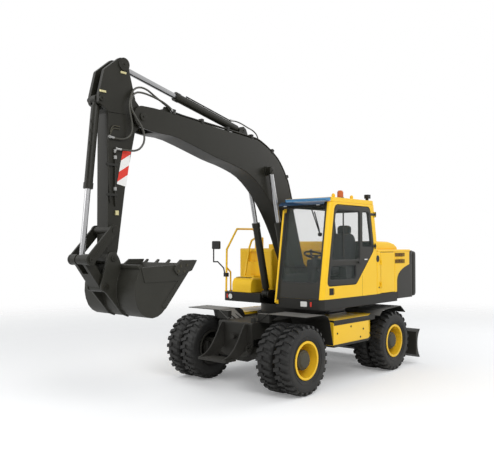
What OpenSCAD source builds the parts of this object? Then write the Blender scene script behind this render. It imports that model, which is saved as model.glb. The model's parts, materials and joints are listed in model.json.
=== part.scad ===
/* [Wheels] */
// Distance between the two axles
wheelbase = 2600; // [2400:10:2800]
// Outside diameter of a tyre
tyre_d = 1030; // [980:5:1080]
// Section width of a tyre
tyre_w = 275; // [240:5:290]
// Distance between the two tyres of a twin wheel
twin_pitch = 320; // [305:5:350]
// Middle of a twin wheel from the machine's centre plane
wheel_y = 957; // [940:1:980]
// Diameter over the rim flanges
rim_d = 566; // [540:2:580]
// Diameter of the wheel spindles
spindle_d = 120; // [100:2:140]
// Diameter of the wheel hubs
hub_d = 260; // [240:2:280]
// Height of the tyre lugs
lug_h = 26; // [18:1:30]
// Lugs on each shoulder of a tyre
lug_count = 18; // [16:1:20]

/* [Chassis] */
// Width of the chassis box
chassis_w = 700; // [600:10:760]
// Top of the chassis box above the ground
chassis_top = 1000; // [960:5:1020]
// Bottom of the chassis box above the ground
chassis_bottom = 450; // [420:5:480]
// Front face of the chassis box ahead of the front axle
nose_reach = 200; // [160:5:240]
// Rear face of the chassis box behind the rear axle
tail_reach = 420; // [380:5:460]
// Radius of an axle beam
axle_r = 95; // [80:1:105]
// Overall width over the tool boxes and fenders
overall_w = 2450; // [2400:10:2500]
// Thickness of the fender sheets
fender_t = 12; // [6:1:16]

/* [Blade] */
// Width of the dozer blade
blade_w = 2460; // [2300:10:2500]
// Height of the dozer blade
blade_h = 520; // [450:10:560]

/* [Upper structure] */
// Underside of the swing frame above the ground
swing_bottom = 1200; // [1190:5:1230]
// Height of the swing frame's skirt
skirt_h = 160; // [140:5:180]
// Half of the upper structure's width
upper_half_w = 1220; // [1200:5:1230]
// Tail of the counterweight behind the slew axis
tail_x = 2100; // [2050:10:2200]
// Top of the engine hood above the ground
hood_top = 2110; // [2060:5:2160]
// Thickness of the upper structure's panels
panel_t = 40; // [30:1:50]
// Clear gap round doors and lids
door_gap = 8; // [6:1:12]

/* [Cab] */
// Inner side of the cab from the machine's centre plane
cab_y = 335; // [330:1:360]
// Top of the cab roof above the ground
cab_top = 2930; // [2880:10:2960]
// Thickness of the cab walls
cab_wall = 50; // [40:1:60]
// Thickness of the window panes
glass_t = 8; // [6:1:10]

/* [Boom] */
// Half width of the boom box
boom_half_w = 165; // [150:1:168]
// Distance of the boom cylinders from the centre plane
boom_cyl_y = 242; // [238:1:245]
// Outside diameter of the boom cylinders
boom_cyl_d = 122; // [110:1:125]
// Diameter of the boom cylinder rods
boom_rod_d = 76; // [65:1:80]

/* [Arm] */
// Half width of the arm box
arm_half_w = 115; // [105:1:118]
// Outside diameter of the arm cylinder
arm_cyl_d = 120; // [110:1:125]
// Diameter of the arm cylinder rod
arm_rod_d = 78; // [65:1:82]
// Outside diameter of the bucket cylinder
bucket_cyl_d = 108; // [96:1:112]
// Diameter of the bucket cylinder rod
bucket_rod_d = 70; // [60:1:74]

/* [Bucket] */
// Width over the bucket's side plates
bucket_w = 1060; // [1000:10:1100]
// Thickness of the bucket's side plates
bucket_side_t = 25; // [20:1:30]
// Thickness of the bucket's shell
bucket_shell_t = 20; // [16:1:25]
// Width of a bucket tooth
tooth_w = 80; // [60:1:95]

/* [Pins] */
// Diameter of the large linkage pins
pin_d = 70; // [60:1:76]
// Radial running clearance of a pin in its bore
pin_clear = 0.1; // [0.05:0.01:0.1]
// Side clearance between a moving eye and its lug
side_clear = 5; // [3:1:8]

/* [Hidden] */
$fn = 64;
eps = 0.01;
seat_gap = 0.3;
hub_z = tyre_d / 2;
axle_x = wheelbase / 2;
chassis_front = axle_x + nose_reach;
chassis_rear = axle_x + tail_reach;
arc_step = 15;
pin_r = pin_d / 2;
bore_r = pin_r + pin_clear;

// Linkage points in the side view, [x, z], with the machine parked as it stands
boom_foot = [0, 1750];
boom_cyl_base = [430, 1362];
boom_cyl_eye = [920, 3380];
arm_pivot = [3470, 3870];
arm_cyl_base = [1390, 3980];
arm_cyl_eye = [3750, 4510];
bucket_pin = [3930, 2020];
rocker_pin = [3950, 2370];
rod_pin = [4290, 2010];
link_pin = [4040, 1670];
bucket_cyl_base = [4090, 4020];

paint_yellow = "#f2b011";
paint_dark = "#3b3a34";
frame_black = "#2b2b2b";
rubber = "#1c1c1c";
bright_steel = "#c8c8c8";
pane = "#33444c";

// Basic shapes

// Side-view outline pulled out between two planes of constant y
module side_plate(outline, y0, y1) {
    translate([0, y1, 0])
        rotate([90, 0, 0])
            linear_extrude(y1 - y0)
                polygon(outline);
}

// Front-view outline pulled out between two planes of constant x
module front_plate(outline, x0, x1) {
    translate([x0, 0, 0])
        rotate([90, 0, 90])
            linear_extrude(x1 - x0)
                polygon(outline);
}

// Plan outline pulled out between two heights
module deck_plate(outline, z0, z1) {
    translate([0, 0, z0])
        linear_extrude(z1 - z0)
            polygon(outline);
}

// Box between two opposite corners
module box(low, high) {
    translate(low)
        cube(high - low);
}

// Round bar along y through the side-view point at
module bar_y(at, r, y0, y1) {
    translate([at[0], y1, at[1]])
        rotate([90, 0, 0])
            cylinder(r = r, h = y1 - y0);
}

// Round bar in the side view from a to b, in the plane at y
module bar_xz(a, b, r, y = 0) {
    d = b - a;
    translate([a[0], y, a[1]])
        rotate([0, atan2(d[0], d[1]), 0])
            cylinder(r = r, h = norm(d));
}

// Round bar between two points in space
module bar(a, b, r) {
    d = b - a;
    translate(a)
        rotate([0, acos(d[2] / norm(d)), atan2(d[1], d[0])])
            cylinder(r = r, h = norm(d));
}

elbow_over = 0.5;
gland_len = 75;
gland_over = 7;

// Bent round tube through a list of points
module bent_tube(points, r) {
    for (i = [0 : len(points) - 2])
        bar(points[i], points[i + 1], r);
    for (i = [1 : len(points) - 2])
        translate(points[i])
            sphere(r = r + elbow_over);
}

// Unit vector from a to b
function unit(a, b) = (b - a) / norm(b - a);

// Points of the arc that rounds corner b between its neighbours a and c, with radius r
function corner_arc(a, b, c, r) =
    let (
        ua = unit(b, a),
        uc = unit(b, c),
        half = acos(ua * uc) / 2,
        centre = b + (ua + uc) / norm(ua + uc) * r / sin(half),
        from = b + ua * r / tan(half) - centre,
        to = b + uc * r / tan(half) - centre,
        start = atan2(from[1], from[0]),
        turn = (atan2(to[1], to[0]) - start + 540) % 360 - 180,
        steps = max(1, ceil(abs(turn) / arc_step))
    )
    [for (i = [0 : steps]) centre + r * [cos(start + turn * i / steps), sin(start + turn * i / steps)]];

// Corner i of a list of [x, z, r], without its radius
function bare(p, i) = let (q = p[(i + len(p)) % len(p)]) [q[0], q[1]];

// Closed outline through corners [x, z, r], each rounded by its radius
function rounded(p) = [
    for (i = [0 : len(p) - 1])
        each p[i][2] > 0 ? corner_arc(bare(p, i - 1), bare(p, i), bare(p, i + 1), p[i][2]) : [bare(p, i)]
];

// Open line through corners [x, z, r], each rounded by its radius

// Closed outline of corners [x, z, r] moved inwards by d, for a list that runs counter-clockwise
function inset(p, d) = [
    for (i = [0 : len(p) - 1])
        let (
            before = normal_of(bare(p, i - 1), bare(p, i)),
            after = normal_of(bare(p, i), bare(p, i + 1)),
            at = bare(p, i) + (before + after) / (1 + before * after) * d
        )
        [at[0], at[1], max(p[i][2] - d, 0)]
];

// Points of a smooth bend from a to d, drawn towards b and c
function bezier(a, b, c, d, steps = 8) = [
    for (i = [0 : steps])
        let (s = i / steps, u = 1 - s)
        u * u * u * a + 3 * u * u * s * b + 3 * u * s * s * c + s * s * s * d
];

// Smooth line through a list of points, with a few steps between each pair
function smooth_line(p, steps = 3) =
    let (last = len(p) - 1)
    concat([
        for (i = [0 : last - 1], k = [0 : steps - 1])
            let (
                s = k / steps,
                before = p[max(i - 1, 0)],
                after = p[min(i + 2, last)],
                out = (p[i + 1] - before) / 2,
                in = (after - p[i]) / 2
            )
            p[i] * (2 * s * s * s - 3 * s * s + 1) + out * (s * s * s - 2 * s * s + s)
                + p[i + 1] * (3 * s * s - 2 * s * s * s) + in * (s * s * s - s * s)
    ], [p[last]]);

// Rectangle between two corners, with all its corners rounded
function round_box(low, high, r) = rounded([
    [low[0], low[1], r], [low[0], high[1], r], [high[0], high[1], r], [high[0], low[1], r]
]);

// Its children on both sides of the centre plane
module both_sides() {
    children();
    mirror([0, 1, 0])
        children();
}

// Point on the way from a to b, at a distance from a
function along(a, b, distance) = a + (b - a) * distance / norm(b - a);

// Cylinder barrel from its base pin towards its rod eye, open at the gland
module cylinder_barrel(base, eye, length, d, rod_d, y, eye_w, eye_pin_r = pin_r) {
    neck = 0.8 * d;
    difference() {
        union() {
            bar_y(base, 0.52 * d, y - eye_w / 2, y + eye_w / 2);
            bar_xz(base, along(base, eye, neck + 10), 0.36 * d, y);
            bar_xz(along(base, eye, neck), along(base, eye, length), d / 2, y);
            bar_xz(along(base, eye, length - gland_len), along(base, eye, length), d / 2 + gland_over, y);
        }
        bar_y(base, eye_pin_r + pin_clear, y - eye_w, y + eye_w);
        bar_xz(along(base, eye, neck + 15), along(base, eye, length + 1), rod_d / 2 + seat_gap, y);
    }
}

// Cylinder rod from its end inside the barrel to its eye, with the pin plug in the eye
module cylinder_rod(base, eye, start, rod_d, eye_r, y, eye_w, pin_over, eye_pin_r = pin_r) {
    bar_xz(along(base, eye, start), eye, rod_d / 2, y);
    bar_y(eye, eye_r, y - eye_w / 2, y + eye_w / 2);
    bar_y(eye, eye_pin_r, y - eye_w / 2 - pin_over, y + eye_w / 2 + pin_over);
}

hinge_pin_r = 7;
hinge_r = 14;
hinge_h = 40;
hinge_cap = 24;
hinge_clear = 0.5;
hinge_plate_t = 10;

// Fixed half of a door hinge: two knuckles, their straps to the wall and the pin between them
module hinge_fixed(at, z, wall_y, strap_x) {
    for (s = [-1, 1])
        translate([0, 0, z + s * (hinge_h / 2 + hinge_clear + hinge_cap / 2) - hinge_cap / 2]) {
            translate(at)
                cylinder(r = hinge_r, h = hinge_cap);
            box([min(at[0], strap_x), wall_y - eps, 0], [max(at[0], strap_x), wall_y + hinge_plate_t, hinge_cap]);
        }
    translate([at[0], at[1], z - hinge_h / 2 - hinge_cap])
        cylinder(r = hinge_pin_r, h = hinge_h + 2 * hinge_cap);
}

// Moving half of a door hinge: the barrel on the pin and its strap, which stands clear of the fixed wall
module hinge_leaf(at, z, wall_y, pad_x, strap_x) {
    difference() {
        union() {
            translate([at[0], at[1], z - hinge_h / 2])
                cylinder(r = hinge_r, h = hinge_h);
            box([min(at[0], strap_x), wall_y + 2, z - hinge_h / 2],
                [max(at[0], strap_x), wall_y + hinge_plate_t, z + hinge_h / 2]);
            box([min(pad_x, strap_x), wall_y - eps, z - hinge_h / 2],
                [max(pad_x, strap_x), wall_y + hinge_plate_t, z + hinge_h / 2]);
        }
        translate([at[0], at[1], z - hinge_h])
            cylinder(r = hinge_pin_r + pin_clear, h = 2 * hinge_h);
    }
}

// Wheels

rim_r = rim_d / 2;
tyre_r = tyre_d / 2;
bead_r = rim_r - 22;
barrel_t = 14;
rim_inner_r = bead_r - barrel_t;
flange_h = 14;
disc_t = 26;
hub_r = hub_d / 2;
hub_out = 140;
rim_w = 204;
tyre_wall = 32;
cavity_r = tyre_r - 105;
lug_root_r = tyre_r - 90;
lug_root = 108;
lug_tip = 92;
lug_gap = 8;
lug_w = 0.48 * tyre_w;
hub_cap_r = 0.72 * hub_d / 2;
hub_step = 62;
edge_cut = 12;

// Section of a tyre about its own mid plane, [radius, offset]
function tyre_section() =
    let (half = tyre_w / 2, foot = rim_w / 2, tread_r = tyre_r - lug_h, inner = half - tyre_wall)
    [
        [bead_r, -foot], [rim_r + 2, -foot], [rim_r + 15, -foot - 12], [rim_r + 75, -half], [tyre_r - 120, -half],
        [tyre_r - 70, -0.93 * half], [tread_r, -0.7 * half], [tread_r, 0.7 * half], [tyre_r - 70, 0.93 * half],
        [tyre_r - 120, half], [rim_r + 75, half], [rim_r + 15, foot + 12], [rim_r + 2, foot], [bead_r, foot],
        [bead_r, foot - tyre_wall], [rim_r + 75, inner], [tyre_r - 130, inner], [cavity_r, inner - 50],
        [cavity_r, -inner + 50], [tyre_r - 130, -inner], [rim_r + 75, -inner], [bead_r, -foot + tyre_wall]
    ];

// Outline of one lug seen along the axle, tip outwards
function lug_outline(at) = [
    for (p = [
        [lug_root_r, -lug_root / 2], [tyre_r, -lug_tip / 2], [tyre_r, 0], [tyre_r, lug_tip / 2],
        [lug_root_r, lug_root / 2]
    ])
        let (a = at + p[1] / tyre_r * 180 / PI)
        p[0] * [cos(a), sin(a)]
];

// Lugs of both shoulders, the second row half a pitch on, with a lug of the first row at the bottom
module tyre_lugs() {
    pitch = 360 / lug_count;
    for (row = [0, 1], i = [0 : lug_count - 1])
        translate([0, 0, row * (lug_gap - lug_w) - lug_gap / 2])
            linear_extrude(lug_w)
                polygon(lug_outline(-90 + (i + row / 2) * pitch));
}

// Two tyres side by side about the hub axis
module twin_tyres(x, side) {
    color(rubber)
        for (k = [-1, 1])
            translate([x, side * wheel_y + k * twin_pitch / 2, hub_z])
                rotate([90, 0, 0]) {
                    rotate_extrude()
                        polygon(tyre_section());
                    tyre_lugs();
                }
}

// Section of one rim about its own mid plane
function rim_section() =
    let (half = rim_w / 2, edge = half + flange_h, seat = bead_r - seat_gap)
    [
        [rim_inner_r, -edge], [rim_r, -edge], [rim_r, -half - seat_gap], [seat, -half - seat_gap],
        [seat, half + seat_gap], [rim_r, half + seat_gap], [rim_r, edge], [rim_inner_r, edge]
    ];

// Two rims, the disc between them and the hub, with the bore for the spindle
module twin_rims(x, side) {
    band_half = twin_pitch / 2 - rim_w / 2 - flange_h;
    color(paint_yellow)
        translate([x, side * wheel_y, hub_z])
            rotate([side * -90, 0, 0])
                difference() {
                    union() {
                        for (k = [-1, 1])
                            translate([0, 0, k * twin_pitch / 2])
                                rotate_extrude()
                                    polygon(rim_section());
                        rotate_extrude()
                            polygon([
                                [hub_r - 30, -disc_t / 2], [rim_inner_r + eps, -disc_t / 2],
                                [rim_inner_r, -band_half - eps], [rim_inner_r + barrel_t, -band_half - eps],
                                [rim_inner_r + barrel_t, band_half + eps], [rim_inner_r, band_half + eps],
                                [rim_inner_r + eps, disc_t / 2], [hub_r - 30, disc_t / 2]
                            ]);
                        rotate_extrude()
                            polygon([
                                [0, -disc_t], [hub_r, -disc_t], [hub_r, hub_step], [hub_r - edge_cut, hub_step + edge_cut],
                                [hub_cap_r, hub_step + edge_cut], [hub_cap_r, hub_out - edge_cut],
                                [hub_cap_r - edge_cut, hub_out], [0, hub_out]
                            ]);
                    }
                    translate([0, 0, -disc_t - 1])
                        cylinder(r = spindle_d / 2 + pin_clear, h = disc_t + hub_out / 2);
                }
}

module tyres_front_left() { twin_tyres(axle_x, 1); }
module tyres_front_right() { twin_tyres(axle_x, -1); }
module tyres_rear_left() { twin_tyres(-axle_x, 1); }
module tyres_rear_right() { twin_tyres(-axle_x, -1); }
module rims_front_left() { twin_rims(axle_x, 1); }
module rims_front_right() { twin_rims(axle_x, -1); }
module rims_rear_left() { twin_rims(-axle_x, 1); }
module rims_rear_right() { twin_rims(-axle_x, -1); }

// Axles and steering knuckles

kingpin_y = 800;
kingpin_r = 40;
yoke_z = 130;
yoke_t = 45;
yoke_half_w = 60;
knuckle_r = 96;
knuckle_core_r = 75;
knuckle_out = 95;
spindle_end = wheel_y + hub_out / 2 - disc_t - 6;
diff_r = 150;
diff_half = 230;
saddle_half = 150;
beam_end = kingpin_y - knuckle_r - 20;

// Axle beam with its differential housing
module axle_beam(x, reach) {
    translate([x, 0, hub_z])
        rotate([90, 0, 0])
            rotate_extrude()
                polygon([
                    [0, -reach], [axle_r, -reach], [axle_r, -diff_half], [diff_r, -0.4 * diff_half],
                    [diff_r, 0.4 * diff_half], [axle_r, diff_half], [axle_r, reach], [0, reach]
                ]);
}

// Block that carries an axle under the chassis box
module axle_saddle(x) {
    box([x - saddle_half, -saddle_half, hub_z], [x + saddle_half, saddle_half, axle_seat_z]);
}

// Fork round a steering knuckle, with the kingpin bores
module axle_yoke() {
    arm_start = beam_end - 90;
    difference() {
        union() {
            for (s = [-1, 1]) {
                box([axle_x - yoke_half_w, arm_start, hub_z + s * yoke_z - yoke_t / 2],
                    [axle_x + yoke_half_w, kingpin_y, hub_z + s * yoke_z + yoke_t / 2]);
                translate([axle_x, kingpin_y, hub_z + s * yoke_z])
                    cylinder(r = yoke_half_w, h = yoke_t, center = true);
            }
            box([axle_x - yoke_half_w, arm_start, hub_z - yoke_z], [axle_x + yoke_half_w, beam_end - 20, hub_z + yoke_z]);
        }
        translate([axle_x, kingpin_y, hub_z])
            cylinder(r = kingpin_r + pin_clear, h = 4 * yoke_z, center = true);
    }
}

module front_axle() {
    color(frame_black) {
        axle_beam(axle_x, beam_end);
        both_sides()
            axle_yoke();
        axle_saddle(axle_x);
    }
}

module rear_axle() {
    color(frame_black) {
        axle_beam(-axle_x, wheel_y - disc_t - 20);
        both_sides()
            bar_y([-axle_x, hub_z], spindle_d / 2, saddle_half, spindle_end);
        axle_saddle(-axle_x);
    }
}

module knuckle(side) {
    core_h = 2 * yoke_z - yoke_t - 2 * side_clear;
    color(frame_black)
        mirror([0, side < 0 ? 1 : 0, 0]) {
            translate([axle_x, kingpin_y, hub_z]) {
                cylinder(r = knuckle_core_r, h = core_h, center = true);
                cylinder(r = kingpin_r, h = 2 * yoke_z + yoke_t, center = true);
            }
            bar_y([axle_x, hub_z], knuckle_r, kingpin_y - 20, kingpin_y + knuckle_out);
            bar_y([axle_x, hub_z], spindle_d / 2, kingpin_y, spindle_end);
        }
}

module knuckle_left() { knuckle(1); }
module knuckle_right() { knuckle(-1); }

// Chassis

chassis_half = chassis_w / 2;
arch_half = 290;
nose_t = 35;
axle_seat_z = 745;
belly_half_w = 640;
belly_x = 600;
turret_r = 620;
turret_top = 1050;
ring_r = 560;
ring_inner_r = 470;
blade_pivot = [-chassis_rear + 80, 600];
blade_cyl_base = [-chassis_rear - 70, 920];
blade_cyl_eye = [-chassis_rear - 360, 560];
blade_cyl_y = 180;
blade_eye_w = 50;
blade_pin_r = 22;
blade_lug_t = 20;
brake_cap_r = 38;
brake_cap_h = 75;
tow_pin_r = 42;
tow_pin_z = 780;

// Two lugs beside an eye of a given width, with the pin that joins them
module lug_pair(outline, pin_at, y, eye_w, lug_t, eye_pin_r = pin_r) {
    inner = eye_w / 2 + side_clear;
    for (s = [-1, 1])
        side_plate(outline, y + s * (inner + lug_t / 2) - lug_t / 2, y + s * (inner + lug_t / 2) + lug_t / 2);
    bar_y(pin_at, eye_pin_r, y - inner - lug_t, y + inner + lug_t);
}

lashing_y = 300;
lashing_t = 25;
lashing_r = 26;
lashing_reach = 50;

// Plate with a round eye at an end of the chassis box
module lashing_eye(at, way) {
    hole = at + [way * lashing_reach, 0];
    difference() {
        union() {
            side_plate([
                at + [-way * eps, 60], hole + [0, 50], hole + [0, -50], at + [-way * eps, -60]
            ], lashing_y, lashing_y + lashing_t);
            bar_y(hole, 50, lashing_y, lashing_y + lashing_t);
        }
        bar_y(hole, lashing_r, 0, fender_out);
    }
}

module chassis_frame() {
    rear_arch = -axle_x - arch_half + 60;
    nose_in = chassis_front - nose_t;
    outline = rounded([
        [chassis_front, axle_seat_z, 0], [chassis_front, chassis_top, 30],
        [-chassis_rear, chassis_top, 30], [-chassis_rear, chassis_bottom, 90], [rear_arch, chassis_bottom, 0],
        [rear_arch, axle_seat_z, 60], [-axle_x + arch_half, axle_seat_z, 60],
        [-axle_x + arch_half, chassis_bottom, 0], [axle_x - arch_half, chassis_bottom, 0],
        [axle_x - arch_half, axle_seat_z, 60]
    ]);
    nose = rounded([
        [-chassis_half, chassis_top - 60, 0], [chassis_half, chassis_top - 60, 0],
        [chassis_half, chassis_bottom + 20, 190], [-chassis_half, chassis_bottom + 20, 190]
    ]);
    color(frame_black) {
        side_plate(outline, -chassis_half, chassis_half);
        front_plate(nose, nose_in, chassis_front - eps);
        box([-belly_x - 40, -belly_half_w, 640], [belly_x - 60, belly_half_w, chassis_top - 10]);
        translate([0, 0, chassis_top - 10 - eps])
            cylinder(r = turret_r, h = turret_top - chassis_top + 10 + eps);
        translate([chassis_front - 100, chassis_half - 60, chassis_top - eps])
            cylinder(r = brake_cap_r, h = brake_cap_h);
        bar([chassis_front - eps, 0, tow_pin_z], [chassis_front + 70, 0, tow_pin_z], tow_pin_r);
        both_sides() {
            bar_y(blade_pivot, pin_r, chassis_half - eps, chassis_half + side_clear + 55);
            lug_pair([
                [-chassis_rear + eps, 820], [-chassis_rear + eps, chassis_top - 31],
                blade_cyl_base + [-30, 45], blade_cyl_base + [-50, 0], blade_cyl_base + [-30, -45]
            ], blade_cyl_base, blade_cyl_y, blade_eye_w, blade_lug_t, blade_pin_r);
            lashing_eye([chassis_front, 620], 1);
            lashing_eye([-chassis_rear, 560], -1);
        }
    }
}

module slew_ring() {
    color(frame_black)
        translate([0, 0, turret_top])
            difference() {
                cylinder(r = ring_r, h = swing_bottom - seat_gap - turret_top);
                translate([0, 0, -1])
                    cylinder(r = ring_inner_r, h = swing_bottom);
            }
}

step_plate_y = 250;
step_t = 20;
step_plate_top = 985;
step_z = 500;
step_tread_t = 40;

module front_step() {
    x0 = chassis_front;
    tread_front = x0 + 530;
    tread_rear = x0 + 270;
    color(frame_black) {
        both_sides()
            side_plate(concat(
                [[x0, step_plate_top], [x0 + 50, step_plate_top]],
                bezier([x0 + 65, step_plate_top - 15], [x0 + 190, 800], [x0 + 260, 560], [tread_front, step_z]),
                [[tread_front, step_z - step_tread_t], [tread_rear, step_z - step_tread_t], [x0, 600]]
            ), step_plate_y - step_t, step_plate_y);
        deck_plate(round_box([tread_rear, -step_plate_y - 35], [tread_front, step_plate_y + 35], 25),
            step_z - step_tread_t + 1, step_z - 1);
    }
}

fender_out = overall_w / 2;
fender_in = 500;
fender_z = 1128;
fender_front_reach = 30;
rib_t = 10;

// Unit normal of the line from a to b
function normal_of(a, b) = [a[1] - b[1], b[0] - a[0]] / norm(b - a);

// Outline of a bent sheet of thickness t above a line of points
function sheet_outline(p, t) =
    let (last = len(p) - 1)
    concat(p, [
        for (i = [last : -1 : 0])
            let (
                before = normal_of(p[max(i - 1, 0)], p[max(i, 1)]),
                after = normal_of(p[min(i, last - 1)], p[min(i + 1, last)])
            )
            p[i] + (before + after) / (1 + before * after) * t
    ]);

// Bent sheet through side-view points, with its thickness above the line
module fender_sheet(points, y0, y1) {
    side_plate(sheet_outline(points, fender_t), y0, y1);
}

// Outrigger that carries a fender from the side of the chassis box
module fender_arm(x, z) {
    box([x - 120, chassis_half, z - 220], [x + 120, chassis_half + 30, z]);
    box([x - 120, chassis_half, z - 40], [x + 120, fender_in + 160, z]);
}

// Sloping web from a front fender's inner edge to a foot on top of the chassis box, with its ribs and its box
module fender_web() {
    top = fender_z + fender_t / 2;
    foot = chassis_half - 50;
    rib_foot = foot - 60;
    front = axle_x + fender_front_reach;
    front_plate([
        [fender_in + 20, top], [fender_in, top], [foot, chassis_top], [foot + 24, chassis_top]
    ], axle_x - 330, front);
    for (x = [axle_x - 250, axle_x - 120, axle_x + 10])
        front_plate([
            [rib_foot, chassis_top], [foot + 10, chassis_top], [foot + 110, chassis_top + 70], [foot + 92, chassis_top + 70]
        ], x, x + rib_t);
    box([front - 90, foot + 10, chassis_top], [front - 10, fender_in + 40, top]);
}

module fenders() {
    color(frame_black)
        both_sides() {
            fender_sheet(rounded([
                [axle_x - 680, 650, 0], [axle_x - 560, fender_z, 180], [axle_x + fender_front_reach, fender_z, 0]
            ]), fender_in, fender_out);
            fender_web();
            fender_sheet(rounded([
                [-axle_x - 410, 980, 0], [-axle_x - 240, 1100, 60], [-axle_x + 400, 1070, 60], [-axle_x + 500, 980, 0]
            ]), fender_in, fender_out);
            fender_arm(-axle_x + 80, 1085 + fender_t / 2);
        }
}

box_front = axle_x - 720;
box_rear = -axle_x + 610;
box_bottom = 610;
box_top = 1030;
box_sill = 40;
box_trim = 45;
box_step = 10;
box_slant = [250, 110];

// Plan outline of a tool box, with its slanted rear corner, inset from its sill
function box_plan(step) =
    let (out = fender_out - 5 - step)
    [
        [box_front, belly_half_w], [box_front, out], [box_rear + box_slant[0], out], [box_rear, out - box_slant[1]],
        [box_rear, belly_half_w]
    ];

module toolboxes() {
    color(paint_yellow)
        both_sides() {
            deck_plate(box_plan(0), box_bottom, box_bottom + box_sill);
            deck_plate(box_plan(box_step), box_bottom + box_sill - eps, box_top - box_trim + eps);
            deck_plate(box_plan(0), box_top - box_trim, box_top);
        }
}

// Dozer blade at the rear

blade_arm_t = 40;
blade_face_x = -chassis_rear - 460;
blade_bottom = 105;

module blade() {
    z0 = blade_bottom;
    z1 = z0 + blade_h;
    x0 = blade_face_x;
    arm_in = chassis_half + side_clear;
    color(frame_black) {
        difference() {
            side_plate([
                [x0 - 120, z0], [x0 - 60, z0], [x0 + 60, z0 + 60], [x0 + 60, z1 - 40],
                [x0 - 40, z1], [x0 - 100, z1]
            ], -blade_w / 2, blade_w / 2);
            bar_y([x0 - 380, z0 + 0.5 * blade_h], 380, -blade_w, blade_w);
        }
        both_sides() {
            difference() {
                union() {
                    side_plate([
                        blade_pivot + [0, 70], [x0 + 40, z0 + 380], [x0 + 40, z0 + 100], blade_pivot + [0, -70]
                    ], arm_in, arm_in + blade_arm_t);
                    bar_y(blade_pivot, 70, arm_in, arm_in + blade_arm_t);
                }
                bar_y(blade_pivot, bore_r, 0, fender_out);
            }
            for (s = [-1, 1])
                side_plate([
                    [x0 + 59, 380], [x0 + 59, 600], blade_cyl_eye + [10, 50], blade_cyl_eye + [55, 20],
                    blade_cyl_eye + [55, -30]
                ], blade_cyl_y + s * 50 - 10, blade_cyl_y + s * 50 + 10);
        }
    }
}

blade_barrel_len = 250;
blade_cyl_d = 80;
blade_rod_d = 45;

module blade_barrels() {
    color(frame_black)
        both_sides()
            cylinder_barrel(blade_cyl_base, blade_cyl_eye, blade_barrel_len, blade_cyl_d, blade_rod_d, blade_cyl_y,
                blade_eye_w, blade_pin_r);
}

module blade_rods() {
    color(bright_steel)
        both_sides()
            cylinder_rod(blade_cyl_base, blade_cyl_eye, 165, blade_rod_d, 34, blade_cyl_y, blade_eye_w, 5, blade_pin_r);
}

// Upper structure

skirt_top = swing_bottom + skirt_h;
upper_front_right = 500;
cab_front = 900;
cab_rear = -720;
cw_front = -1430;
bracket_y = boom_half_w + side_clear;
bracket_t = 28;
well_front = 230;
boom_eye_w = 78;
skirt_t = 30;
deck_t = 40;
pillar_r = 80;
cw_bottom = swing_bottom + 40;
cw_top = 2090;

// Plan outline of the skirt, inset by a wall
function skirt_outline(inset) = rounded([
    [cab_front - inset, cab_y + inset, 0], [cab_front - inset, upper_half_w - inset, pillar_r - inset],
    [cw_front + inset, upper_half_w - inset, 0], [cw_front + inset, -upper_half_w + inset, 0],
    [upper_front_right - inset, -upper_half_w + inset, 110 - inset], [upper_front_right - inset, -cab_y - inset, 0],
    [well_front - inset, -cab_y - inset, 0], [well_front - inset, cab_y + inset, 0]
]);

module swing_frame() {
    color(frame_black) {
        difference() {
            deck_plate(skirt_outline(0), swing_bottom, skirt_top);
            difference() {
                deck_plate(skirt_outline(skirt_t), swing_bottom - 1, skirt_top - deck_t);
                cylinder(r = turret_r + 40, h = skirt_top);
            }
        }
        both_sides() {
            side_plate([
                [-300, skirt_top - eps], [well_front, skirt_top - eps], [well_front, 1480], [120, 1820],
                [60, 1860], [-60, 1860], [-120, 1820]
            ], bracket_y, bracket_y + bracket_t);
            lug_pair([
                [well_front - eps, swing_bottom + 20], [boom_cyl_base[0] + 40, 1290],
                boom_cyl_base + [62, -20], boom_cyl_base + [50, 40], boom_cyl_base + [0, 62],
                [well_front - eps, 1410]
            ], boom_cyl_base, boom_cyl_y, boom_eye_w, bracket_t);
            box([well_front - 60, bracket_y, swing_bottom + 20], [well_front, cab_y, 1410]);
        }
        bar_y(boom_foot, pin_r, -bracket_y - bracket_t - 20, bracket_y + bracket_t + 20);
    }
}

// Edge of the counterweight's side, from its front up over the shoulder to the top
shoulder = concat(
    bezier([cw_front - seat_gap, 1570], [cw_front - 20, 1730], [-1700, 1800], [-1955, 1850]), [[-1930, cw_top]]
);

module counterweight() {
    front = cw_front - seat_gap;
    top_corner = [-tail_x, cw_top];
    low_corner = [-tail_x, cw_bottom];
    color(paint_dark)
        intersection() {
            side_plate(concat(
                [[front, cw_bottom]], shoulder, corner_arc(shoulder[len(shoulder) - 1], top_corner, low_corner, 110),
                corner_arc(top_corner, low_corner, [front, cw_bottom], 110)
            ), -upper_half_w, upper_half_w);
            deck_plate(rounded([
                [front, -upper_half_w, 0], [front, upper_half_w, 0], [-tail_x, upper_half_w, 150],
                [-tail_x, -upper_half_w, 150]
            ]), cw_bottom, cw_top);
        }
}

module engine() {
    color("#6b6b6b")
        box([-1380, -560, skirt_top], [-800, 640, 1950]);
}

door_front = -848;
door_rear = -1340;
quarter_front = door_rear - door_gap;
side_door_top = hood_top - panel_t - door_gap;

side_door_axis = [door_front, upper_half_w + hinge_r + 1];
side_hinge_z = [1520, 1900];
hinge_reach = 45;
louvre_x = [-1400, -1530];
louvre_z = [1880, 1970];
louvre_count = 5;
louvre_pitch = 22;
louvre_slot = 13;
louvre_h = 68;
latch_at = [-785, 1957];
latch_half = [19, 38];
latch_depth = 10;

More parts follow.
